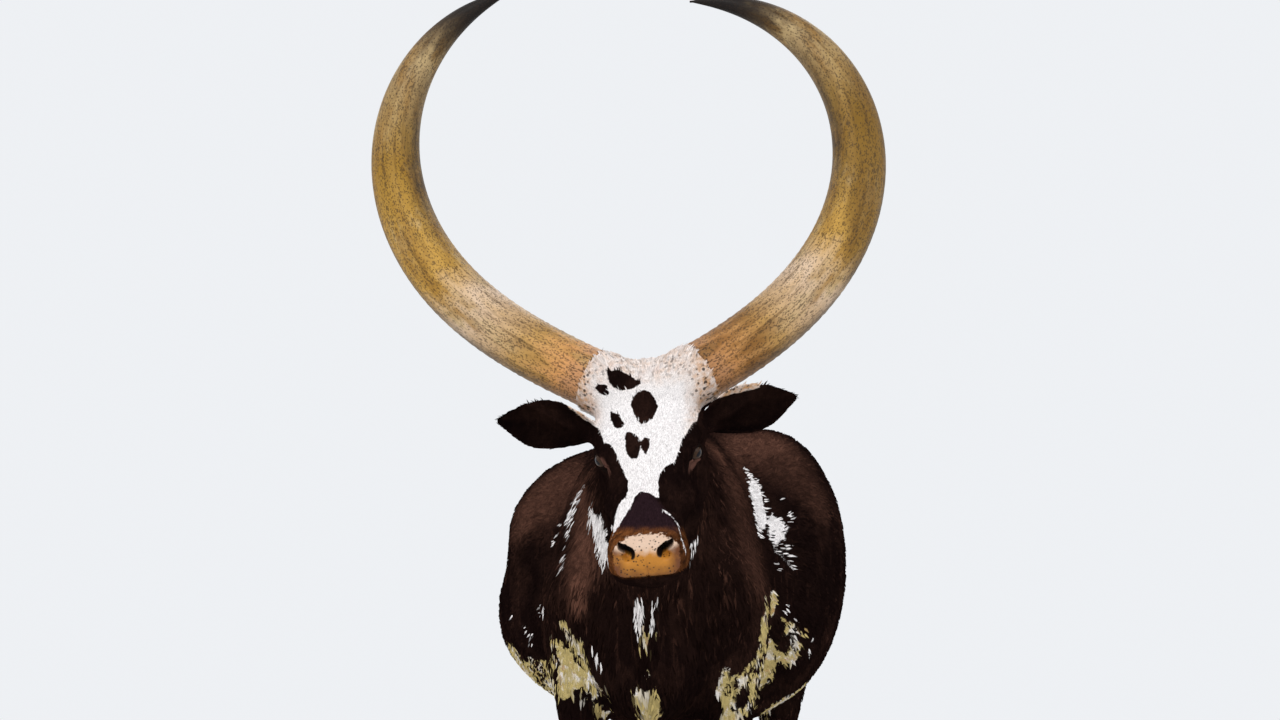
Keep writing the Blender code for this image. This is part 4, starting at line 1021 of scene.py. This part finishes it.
def make_horn(side, sign, material):
    """Lofts one horn, ring by ring, with growth ridges that fade towards the tip."""
    places, shares = horn_line(side, sign, HORN_RINGS)
    length = HORNS[side][3]
    bm = bmesh.new()
    inside = bm.verts.layers.float_vector.new("horn")
    along = bm.verts.layers.float.new("along")
    ring = bmesh.ops.create_circle(bm, segments=HORN_SIDES, radius=1.0)["verts"]
    edges = list({edge for vert in ring for edge in vert.link_edges})
    circle = [vert.co.copy() for vert in ring]
    normal = Vector((0, 1, 0))
    for k, (place, share) in enumerate(zip(places, shares)):
        ahead = (places[min(k + 1, len(places) - 1)] - places[max(k - 1, 0)]).normalized()
        normal = (normal - ahead * normal.dot(ahead)).normalized()
        side_way = ahead.cross(normal)
        if k:
            order = {vert: n for n, vert in enumerate(ring)}
            made = bmesh.ops.extrude_edge_only(bm, edges=edges)["geom"]
            edges = [item for item in made if isinstance(item, bmesh.types.BMEdge)]
            for vert in (item for item in made if isinstance(item, bmesh.types.BMVert)):
                for other in (edge.other_vert(vert) for edge in vert.link_edges):
                    if other in order:
                        ring[order[other]] = vert
        held = min(max(share, 0.0), 1.0)
        radius = max(HORN_TIP, HORN_RADIUS * (1 - held ** 3) ** 0.8) * (0.93 if share < 0 else 1.0)
        fade = max(0.0, 1 - held / 0.55) * min(1.0, held / 0.02)
        at = held * length
        ridge = math.sin(at * 2 * math.pi / 0.021 + 1.1 * math.sin(at * 37)) * 0.6
        ridge += math.sin(at * 2 * math.pi / 0.0125 + 2.1 * math.sin(at * 23)) * 0.4
        radius -= 0.0011 * fade * (1 - ridge)
        for n, (vert, way) in enumerate(zip(ring, circle)):
            swing = 2 * math.pi * n / HORN_SIDES
            reach = radius * (1 - 0.014 * fade * (1 + math.sin(3 * swing + at * 9)) * 0.5)
            vert.co = place + normal * way.x * reach + side_way * way.y * reach
            vert[inside] = (way.x * radius, way.y * radius * sign, at)
            vert[along] = held
    bmesh.ops.contextual_create(bm, geom=ring)
    bmesh.ops.holes_fill(bm, edges=[edge for edge in bm.edges if edge.is_boundary], sides=0)
    bmesh.ops.recalc_face_normals(bm, faces=bm.faces)
    name = f"horn_{side}_grown"
    new_piece(name, to_mesh(bm, name), material, "horn", f"horn_{side}")


def make_eye(side, sign, material):
    """An eyeball with a clear bulge in front."""
    bm = bmesh.new()
    bmesh.ops.create_uvsphere(bm, u_segments=64, v_segments=40, radius=EYE_RADIUS)
    for vert in bm.verts:
        away = math.hypot(vert.co.x, vert.co.y) / EYE_RADIUS
        if vert.co.z > 0 and away < 0.72:
            vert.co.z += 0.0016 * (1 - (away / 0.72) ** 2)
    look = [tuple(vert.co / EYE_RADIUS) for vert in bm.verts]
    bm.transform(MOVE @ eye_frame(sign))
    mesh = to_mesh(bm, f"eyeball_{side}")
    paint(mesh, "look", look)
    new_piece(f"eyeball_{side}", mesh, material, "eye", f"eye_{side}")


def make_claws(leg, material):
    """The two claws and two dewclaws of a foot, rounded from their solids."""
    nodes = [f"{part}_{leg}_{place}" for part in ("claw", "dewclaw") for place in ("inner", "outer")]
    obj = add_object("claws draft", to_mesh(gather(nodes, 0.0), f"claws_{leg}"))
    join_shells(obj, 0.0020)
    soften(obj, 10)
    settle(obj)
    mesh = take_mesh(obj)
    co, no = places_of(mesh), normals_of(mesh)
    lines = np.sin(co[:, 2] * 2 * math.pi / 0.0075 + 1.2 * np.sin(co[:, 1] * 60))
    co += no * (0.00035 * lines * (np.abs(no[:, 2]) < 0.7))[:, None]
    co[:, 2] = np.maximum(co[:, 2], 0.0003)
    put_places(mesh, co)
    new_piece(f"claws_{leg}", mesh, material, "claw", *nodes)


# A tuft is two three-sided rings and a point, with a small patch of the flat map.
TUFT_PATCH = 0.003
TUFT_FACES = ((0, 1, 4, 3), (1, 2, 5, 4), (2, 0, 3, 5), (3, 4, 6), (4, 5, 6), (5, 3, 6), (0, 2, 1))
TUFT_VERTS = 7
TUFT_RING = ((-1.0, 0.0), (1.0, 0.0), (0.0, 1.0))


def blades(name, roots, normals, ways, lengths, widths, stand, curl, spots, marks, material, finish, *nodes):
    """Joined tufts: each is a slim three-sided blade that leaves the skin, bends and lies along it."""
    count = len(roots)
    side = np.cross(normals, ways)
    verts = np.empty((count, TUFT_VERTS, 3))
    flat = np.empty((count, TUFT_VERTS, 2))
    for k, (share, plump) in enumerate(((0.0, 1.0), (0.42, 0.82))):
        rise = -0.05 + stand * math.sin(math.pi * share * 1.15) * 0.9
        middle = roots + ways * (lengths * share)[:, None] + normals * (lengths * rise)[:, None]
        middle = middle + side * (lengths * curl * share * share)[:, None]
        for n, (across, up) in enumerate(TUFT_RING):
            out = side * (widths * 0.5 * across * plump)[:, None] + normals * (widths * 0.30 * up * plump)[:, None]
            verts[:, k * 3 + n] = middle + out
            flat[:, k * 3 + n] = (0.5 + 0.4 * across * (1 - 0.3 * k), share)
    verts[:, 6] = roots + ways * lengths[:, None] + normals * (lengths * stand * 0.55)[:, None]
    verts[:, 6] += side * (lengths * curl)[:, None]
    flat[:, 6] = (0.5, 1.0)
    mesh = bpy.data.meshes.new(name)
    faces = [[TUFT_VERTS * k + n for n in face] for k in range(count) for face in TUFT_FACES]
    mesh.from_pydata(verts.reshape(-1, 3), [], faces)
    mesh.shade_smooth()
    soft = unit(np.repeat(normals, TUFT_VERTS, axis=0) * 0.8 + normals_of(mesh) * 0.2)
    mesh.normals_split_custom_set_from_vertices(soft.tolist())
    layer = mesh.uv_layers.new(name="OFBake")
    corners = column(mesh.loops, "vertex_index", 1, np.int32)[:, 0]
    patch = (spots[:, None, :] + (flat - 0.5) * TUFT_PATCH).reshape(-1, 2)[corners]
    layer.data.foreach_set("uv", np.clip(patch, 0, 1).astype(np.float32).ravel())
    for key, values in marks.items():
        paint(mesh, key, np.repeat(np.asarray(values, float), TUFT_VERTS, axis=0))
    new_piece(name, mesh, material, finish, *nodes)


class Unwrap:
    """A flat map of the skin's own shape, to give each tuft its place on it."""

    def __init__(self, skin):
        copy = add_object("map draft", skin.data.copy())
        copy.modifiers.new("thin", "DECIMATE").ratio = 0.06
        settle(copy)
        bpy.context.view_layer.objects.active = copy
        copy.select_set(True)
        bpy.ops.object.mode_set(mode="EDIT")
        bpy.ops.mesh.select_all(action="SELECT")
        bpy.ops.uv.smart_project(angle_limit=math.radians(60), island_margin=0.004)
        bpy.ops.object.mode_set(mode="OBJECT")
        mesh = copy.data
        self.co = places_of(mesh)
        self.faces = column(mesh.polygons, "vertices", kind=np.int32)
        self.uv = column(mesh.uv_layers.active.data, "uv", 2).reshape(-1, 3, 2)
        self.tree = BVHTree.FromPolygons(self.co.tolist(), self.faces.tolist())
        bpy.data.objects.remove(copy)

    def spots(self, points):
        found = [self.tree.find_nearest(Vector(point)) for point in points]
        index = np.array([hit[2] for hit in found])
        at = np.array([hit[0] for hit in found])
        a, b, c = (self.co[self.faces[index, n]] for n in range(3))
        one, two, here = b - a, c - a, at - a
        d11, d12, d22, d1, d2 = (
            (p * q).sum(1) for p, q in ((one, one), (one, two), (two, two), (here, one), (here, two))
        )
        under = np.maximum(d11 * d22 - d12 * d12, 1e-18)
        v = np.clip((d22 * d1 - d12 * d2) / under, 0, 1)[:, None]
        u = np.clip((d11 * d2 - d12 * d1) / under, 0, 1)[:, None]
        a, b, c = self.uv[index].swapaxes(0, 1)
        return a + (b - a) * v + (c - a) * u


def scatter(mesh, density, draw):
    """Even random places on a mesh with their normals, as many as a density per square metre asks."""
    co, no = places_of(mesh), normals_of(mesh)
    tri = column(mesh.polygons, "vertices", kind=np.int32)
    a, b, c = (co[tri[:, n]] for n in range(3))
    wanted = np.linalg.norm(np.cross(b - a, c - a), axis=1) / 2 * density[tri].mean(axis=1)
    count = int(wanted.sum())
    picked = draw.choice(len(tri), size=count, p=wanted / wanted.sum())
    u, v = draw.random(count), draw.random(count)
    flip = u + v > 1
    u[flip], v[flip] = 1 - u[flip], 1 - v[flip]
    shares = (1 - u - v, u, v)
    roots, normals = (sum(table[tri[picked, n]] * shares[n][:, None] for n in range(3)) for table in (co, no))
    return roots, unit(normals)


def turned(way, other, share):
    """Ways turned towards another by a share at each place."""
    return way * (1 - share)[:, None] + np.asarray(other) * share[:, None]


def coat_lie(co, no, shares):
    """The way the hair lies at each place, along the skin."""
    across, ahead, high = head_view(co).T
    _, y, z = body_view(co).T
    way = np.tile(np.array((0.0, 0.93, -0.30)), (len(co), 1))
    way = turned(way, (0, 0.45, -0.85), ease(-0.25, -0.55, y))
    way = turned(way, (0, 0.35, -0.92), ease(0.72, 0.60, z))
    way = turned(way, (0, 0.10, -1.0), shares["limb"])
    over, down = HEAD_AXES @ np.array((0, 0.75, 0.35)), HEAD_AXES @ np.array((0, -1, 0))
    face = turned(over, down, ease(0.10, 0.20, ahead))
    out = HEAD_AXES[:, 0] * np.sign(across)[:, None]
    face += out * (ease(0.0, 0.10, np.abs(across)) * 0.45)[:, None]
    face = turned(face, HEAD_AXES @ np.array((0, 0.8, -0.4)), ease(-0.02, -0.08, high))
    way = turned(way, face, shares["face"])
    way = turned(way, out + HEAD_AXES @ np.array((0, 0.15, 0.15)), shares["ear"])
    way -= no * (way * no).sum(1)[:, None]
    weak = np.linalg.norm(way, axis=1) < 0.05
    way[weak] = np.cross(no[weak], (1.0, 0.0, 0.0))
    return way / np.maximum(np.linalg.norm(way, axis=1), 1e-6)[:, None]


def colour(name, description, default):
    return FloatVectorProperty(name=name, description=description, subtype="COLOR", default=default)


class CoatSettings(bpy.types.PropertyGroup):
    """Colours of the coat, horn and bare skin."""

    dark: colour("Dark coat", "Main coat colour", (0.0050, 0.0026, 0.0026))
    brown: colour("Warm coat", "Coat where the light shows it brown", (0.132, 0.059, 0.040))
    white: colour("White hair", "Blaze and streaks", (0.93, 0.89, 0.88))
    cream: colour("Cream hair", "Ragged patches", (0.56, 0.44, 0.18))
    tan: colour("Muzzle", "Hair round the nose", (0.170, 0.058, 0.018))
    pad_top: colour("Nose, top", "Bare nose above the nostrils", (0.76, 0.54, 0.40))
    pad_low: colour("Nose, low", "Bare nose between the nostrils", (0.58, 0.235, 0.032))
    claw: colour("Claw", "Claw horn", (0.022, 0.015, 0.012))
    floor: colour("Floor", "Studio floor", (0.78, 0.77, 0.75))


class CowSettings(bpy.types.PropertyGroup):
    """Sizes of the skin and its hair."""

    coat_depth: FloatProperty(
        name="Coat depth", description="How far the skin lies inside the solids", unit="LENGTH", default=0.0032)
    hair_length: FloatProperty(
        name="Hair length", description="Length of a tuft on the trunk", unit="LENGTH", default=0.021)
    hair_share: FloatProperty(
        name="Hair share", description="Tufts as a share of the full coat", subtype="FACTOR", default=1.0)
    brush_locks: IntProperty(name="Brush locks", description="Locks in the tail's brush", default=420)


def bare_skin(co):
    """Where the skin is bare and dark, and where it is pink, as shares."""
    head = head_view(co)
    bare, pink = np.zeros(len(co)), np.zeros(len(co))
    for _, sign in SIDES:
        own, reach = eye_view(sign, co)
        x, y = lid_view(own)
        front = own[:, 2] > 0
        gap = np.hypot(np.maximum(np.abs(x) - 0.012, 0) / 1.4, y) - 0.010
        bare = np.where((reach < 0.032) & front, np.maximum(bare, ease(0.0045, 0.001, gap)), bare)
        tear = ease(0.0052, 0.0028, np.hypot(x + 0.0215, y + 0.003))
        low = np.hypot(np.maximum(np.abs(x + 0.015) - 0.006, 0), y + 0.0112)
        spot = np.maximum(tear, 0.65 * ease(0.0085, 0.002, low))
        pink = np.where((reach < 0.040) & front, np.maximum(pink, spot), pink)
        gap, size, front = nostril_gap(head, sign)
        bare = np.maximum(bare, ease(0.0012, -0.0012, gap - size) * front)
        bare = np.maximum(bare, ease(0.0040, 0.0015, along_path(head, MOUTH, sign)[0]))
    return bare, pink * 0.85


def finish_skin(mesh, depth):
    """Draws the skin in by the coat's depth, cuts the face finer and carves it."""
    co, no = places_of(mesh), normals_of(mesh)
    head = head_view(co)
    # The skin meets the claws without a step.
    inset = depth * (1 - 0.62 * ear_share(head)) * (1 - 0.30 * head_share(head)) * ease(*CORONET, co[:, 2])
    put_places(mesh, co - no * inset[:, None])
    for eye_reach, nose_reach in ((0.052, 0.085), (0.036, 0.070)):
        refine(mesh, EYE_MIDDLES, eye_reach)
        refine(mesh, [NOSE_MIDDLE], nose_reach, 1.35)
    for carve in (carve_body, carve_face):
        co, no = places_of(mesh), normals_of(mesh)
        carve(co, no)
        put_places(mesh, co)
    carve_lids(co)
    put_places(mesh, co)
    bare, pink = bare_skin(co)
    for key, values in {**markings(co, normals_of(mesh)), "bare": bare, "pink": pink}.items():
        paint(mesh, key, values)


LOOKS = {}


def looks(name):
    """A material by its name. They are made once and shared by the pieces."""
    if not LOOKS:
        coat = bpy.context.scene.cow_coat
        colours, lie = coat_colours(), fur_lie()
        LOOKS.update(
            skin=hide_material("hide", colours, lie, coat, True),
            coat=hide_material("coat hair", colours, lie, coat, False),
            horn=horn_material(), claw=claw_material(coat), eye=eye_material(), switch=switch_material(coat),
        )
    return LOOKS[name]


class COW_OT_skin(bpy.types.Operator):
    """Make the skin that stands for all the flesh"""

    bl_idname = "cow.skin"
    bl_label = "Skin"

    def execute(self, context):
        mesh = take_mesh(shape_skin())
        finish_skin(mesh, context.scene.cow.coat_depth)
        new_piece("hide_skin", mesh, looks("skin"), "hide", *FLESH)
        return {"FINISHED"}


class COW_OT_horns(bpy.types.Operator):
    """Make the two horns"""

    bl_idname = "cow.horns"
    bl_label = "Horns"

    def execute(self, context):
        for side, sign in SIDES:
            make_horn(side, sign, looks("horn"))
        return {"FINISHED"}


class COW_OT_eyes(bpy.types.Operator):
    """Make the two eyes"""

    bl_idname = "cow.eyes"
    bl_label = "Eyes"

    def execute(self, context):
        for side, sign in SIDES:
            make_eye(side, sign, looks("eye"))
        return {"FINISHED"}


class COW_OT_claws(bpy.types.Operator):
    """Make the claws and dewclaws of each foot"""

    bl_idname = "cow.claws"
    bl_label = "Claws"

    def execute(self, context):
        for leg in LEGS:
            make_claws(leg, looks("claw"))
        return {"FINISHED"}


class COW_OT_brush(bpy.types.Operator):
    """Make the brush at the end of the tail"""

    bl_idname = "cow.brush"
    bl_label = "Tail brush"

    def execute(self, context):
        low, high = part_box("tail_switch")
        draw = np.random.default_rng(11)
        count = context.scene.cow.brush_locks
        middle = (low + high) / 2
        share = (np.arange(count) + 0.5) / count
        angle = GOLDEN_ANGLE * np.arange(count)
        out = np.column_stack((np.cos(angle), np.sin(angle), np.zeros(count)))
        roots = np.array((middle.x, middle.y, 0.0)) + out * (0.004 + 0.010 * draw.random(count))[:, None]
        roots[:, 2] = high.z + 0.018 - 0.19 * share ** 1.3
        down = unit(np.array((0.0, 0.0, -1.0)) + out * (0.06 + 0.10 * draw.random(count))[:, None])
        lengths = np.minimum(roots[:, 2] - low.z, 0.17 + 0.06 * draw.random(count))
        widths = (0.0030 + 0.0030 * draw.random(count)) * (1 + 0.5 * share)
        normals = unit(np.cross(np.cross(down, out), down))
        spots = np.column_stack((0.5 + 0.2 * share, np.full(count, 0.5)))
        blades("tail_brush", roots, normals, down, lengths, widths, 0.06, draw.uniform(-0.05, 0.05, count),
               spots, {"root": roots}, looks("switch"), "switch", "tail_switch")
        return {"FINISHED"}


def coat_density(mesh):
    """Tufts per square metre at each vertex: none on the nose, lids, claws, teats and brush."""
    co = places_of(mesh)
    marks = markings(co, normals_of(mesh))
    bare = (marks["pad"] > PAD_EDGE) | (co[:, 2] < HAIR_LOW)
    bare |= (co[:, 1] > BRUSH_START[0]) & (co[:, 2] < BRUSH_START[1])
    for _, sign in SIDES:
        bare |= eye_view(sign, co)[1] < LID_REACH
    low, high = (np.array(corner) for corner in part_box("udder"))
    under = (np.abs(co[:, :2] - (low + high)[:2] / 2) < (high - low)[:2] / 2 + 0.01).all(axis=1)
    bare |= under & (co[:, 2] < low[2] + TEAT_TOP)
    return np.where(bare, 0.0, TUFTS + sum(more * marks[name] for name, more in MORE_TUFTS.items()))


class COW_OT_coat(bpy.types.Operator):
    """Lay short tufts of hair along the skin"""

    bl_idname = "cow.coat"
    bl_label = "Coat"

    def execute(self, context):
        skin = bpy.data.objects["hide_skin"]
        cow = context.scene.cow
        draw = np.random.default_rng(5)
        share = cow.hair_share * 1.0
        roots, normals = scatter(skin.data, coat_density(skin.data) * share, draw)
        own = markings(roots, normals)
        keep = own["pad"] < PAD_EDGE
        roots, normals = roots[keep], normals[keep]
        own = {key: values[keep] for key, values in own.items()}
        ways = coat_lie(roots, normals, own)
        count = len(roots)
        turn = draw.normal(0, 0.16, count)
        ways = ways * np.cos(turn)[:, None] + np.cross(normals, ways) * np.sin(turn)[:, None]
        size = cow.hair_length * (1 - 0.58 * own["face"]) * (1 - 0.35 * own["limb"])
        _, y, z = body_view(roots).T
        belly = ease(0.74, 0.64, z) * (1 - own["limb"])
        brisket = ease(-0.50, -0.62, y) * ease(1.0, 0.85, z) * (1 - own["face"])
        size *= 1 + 0.35 * belly + 0.35 * brisket
        poll = ease(0.07, 0.0, own["head"][:, 1]) * own["face"]
        size *= (1 + 0.7 * poll) * (1 - 0.30 * own["ear"])
        size *= draw.uniform(0.75, 1.2, count)
        widths = size * (0.20 + 0.06 * draw.random(count))
        order = np.argsort(y + 4 * (z < 0.62))
        spots = Unwrap(skin).spots(roots)
        pieces = max(1, math.ceil(count * TUFT_TRIANGLES / PIECE_TRIANGLES))
        for n, part in enumerate(np.array_split(order, pieces)):
            blades(
                f"coat_{n + 1}", roots[part], normals[part], ways[part], size[part], widths[part], 0.10,
                draw.uniform(-0.12, 0.12, len(part)), spots[part],
                {key: own[key][part] for key in own}, looks("coat"), "hide",
            )
        return {"FINISHED"}


class COW_OT_stage(bpy.types.Operator):
    """Set up the floor, the soft light and the camera"""

    bl_idname = "cow.stage"
    bl_label = "Stage"

    def execute(self, context):
        scene = context.scene
        bm = bmesh.new()
        bmesh.ops.create_grid(bm, x_segments=2, y_segments=2, size=30)
        ground = add_object("studio_floor", to_mesh(bm, "studio_floor"))
        ground.data.materials.append(floor_material(scene.cow_coat.floor))
        scene.world = scene.world or bpy.data.worlds.new("studio")
        scene.world.use_nodes = True
        back = scene.world.node_tree.nodes["Background"]
        back.inputs["Color"].default_value = (0.90, 0.92, 0.95, 1)
        back.inputs["Strength"].default_value = 0.95
        for name, place, size, power, tint in (
            ("key", (-2.6, -5.0, 6.0), 3.0, 110, (1.0, 0.97, 0.93)),
            ("fill", (4.5, -4.0, 4.0), 3.5, 40, (0.94, 0.97, 1.0)),
            ("rim", (0.5, 4.5, 5.5), 3.0, 50, (1.0, 1.0, 1.0)),
        ):
            data = bpy.data.lights.new(name, "AREA")
            data.size = size
            data.energy = power
            data.color = tint
            lamp = add_object(name, data)
            lamp.location = place
            aim = Vector((0.03, -0.5, 1.1)) - Vector(place)
            lamp.rotation_euler = aim.to_track_quat("-Z", "Y").to_euler()
        # The photograph was taken from chest height, a little to one side and looking slightly up.
        data = bpy.data.cameras.new("camera")
        data.sensor_width = 36
        data.lens = 36 * CAMERA_POINTS / PICTURE[0]
        camera = add_object("camera", data)
        camera.location = SHIFT + Vector(CAMERA_PLACE)
        camera.rotation_euler = Vector(camera_axes()[2]).to_track_quat("-Z", "Y").to_euler()
        scene.camera = camera
        scene.view_settings.view_transform = "Standard"
        return {"FINISHED"}


class COW_PT_panel(bpy.types.Panel):
    """Lists the steps and their settings"""

    bl_idname = "COW_PT_panel"
    bl_label = "Cow"
    bl_space_type = "VIEW_3D"
    bl_region_type = "UI"
    bl_category = "Cow"

    def draw(self, context):
        for kind in STEPS:
            self.layout.operator(kind.bl_idname)
        for kind, settings in ((CowSettings, context.scene.cow), (CoatSettings, context.scene.cow_coat)):
            for name in kind.__annotations__:
                self.layout.prop(settings, name)


STEPS = (COW_OT_stage, COW_OT_skin, COW_OT_horns, COW_OT_eyes, COW_OT_claws, COW_OT_brush, COW_OT_coat)
CLASSES = (CoatSettings, CowSettings, *STEPS, COW_PT_panel)


def register():
    for kind in CLASSES:
        bpy.utils.register_class(kind)
    bpy.types.Scene.cow = PointerProperty(type=CowSettings)
    bpy.types.Scene.cow_coat = PointerProperty(type=CoatSettings)


def unregister():
    del bpy.types.Scene.cow_coat
    del bpy.types.Scene.cow
    for kind in reversed(CLASSES):
        bpy.utils.unregister_class(kind)


def main():
    register()
    bpy.ops.cow.stage()
    bpy.ops.cow.skin()
    bpy.ops.cow.horns()
    bpy.ops.cow.eyes()
    bpy.ops.cow.claws()
    bpy.ops.cow.brush()
    bpy.ops.cow.coat()


if __name__ == "__main__":
    main()
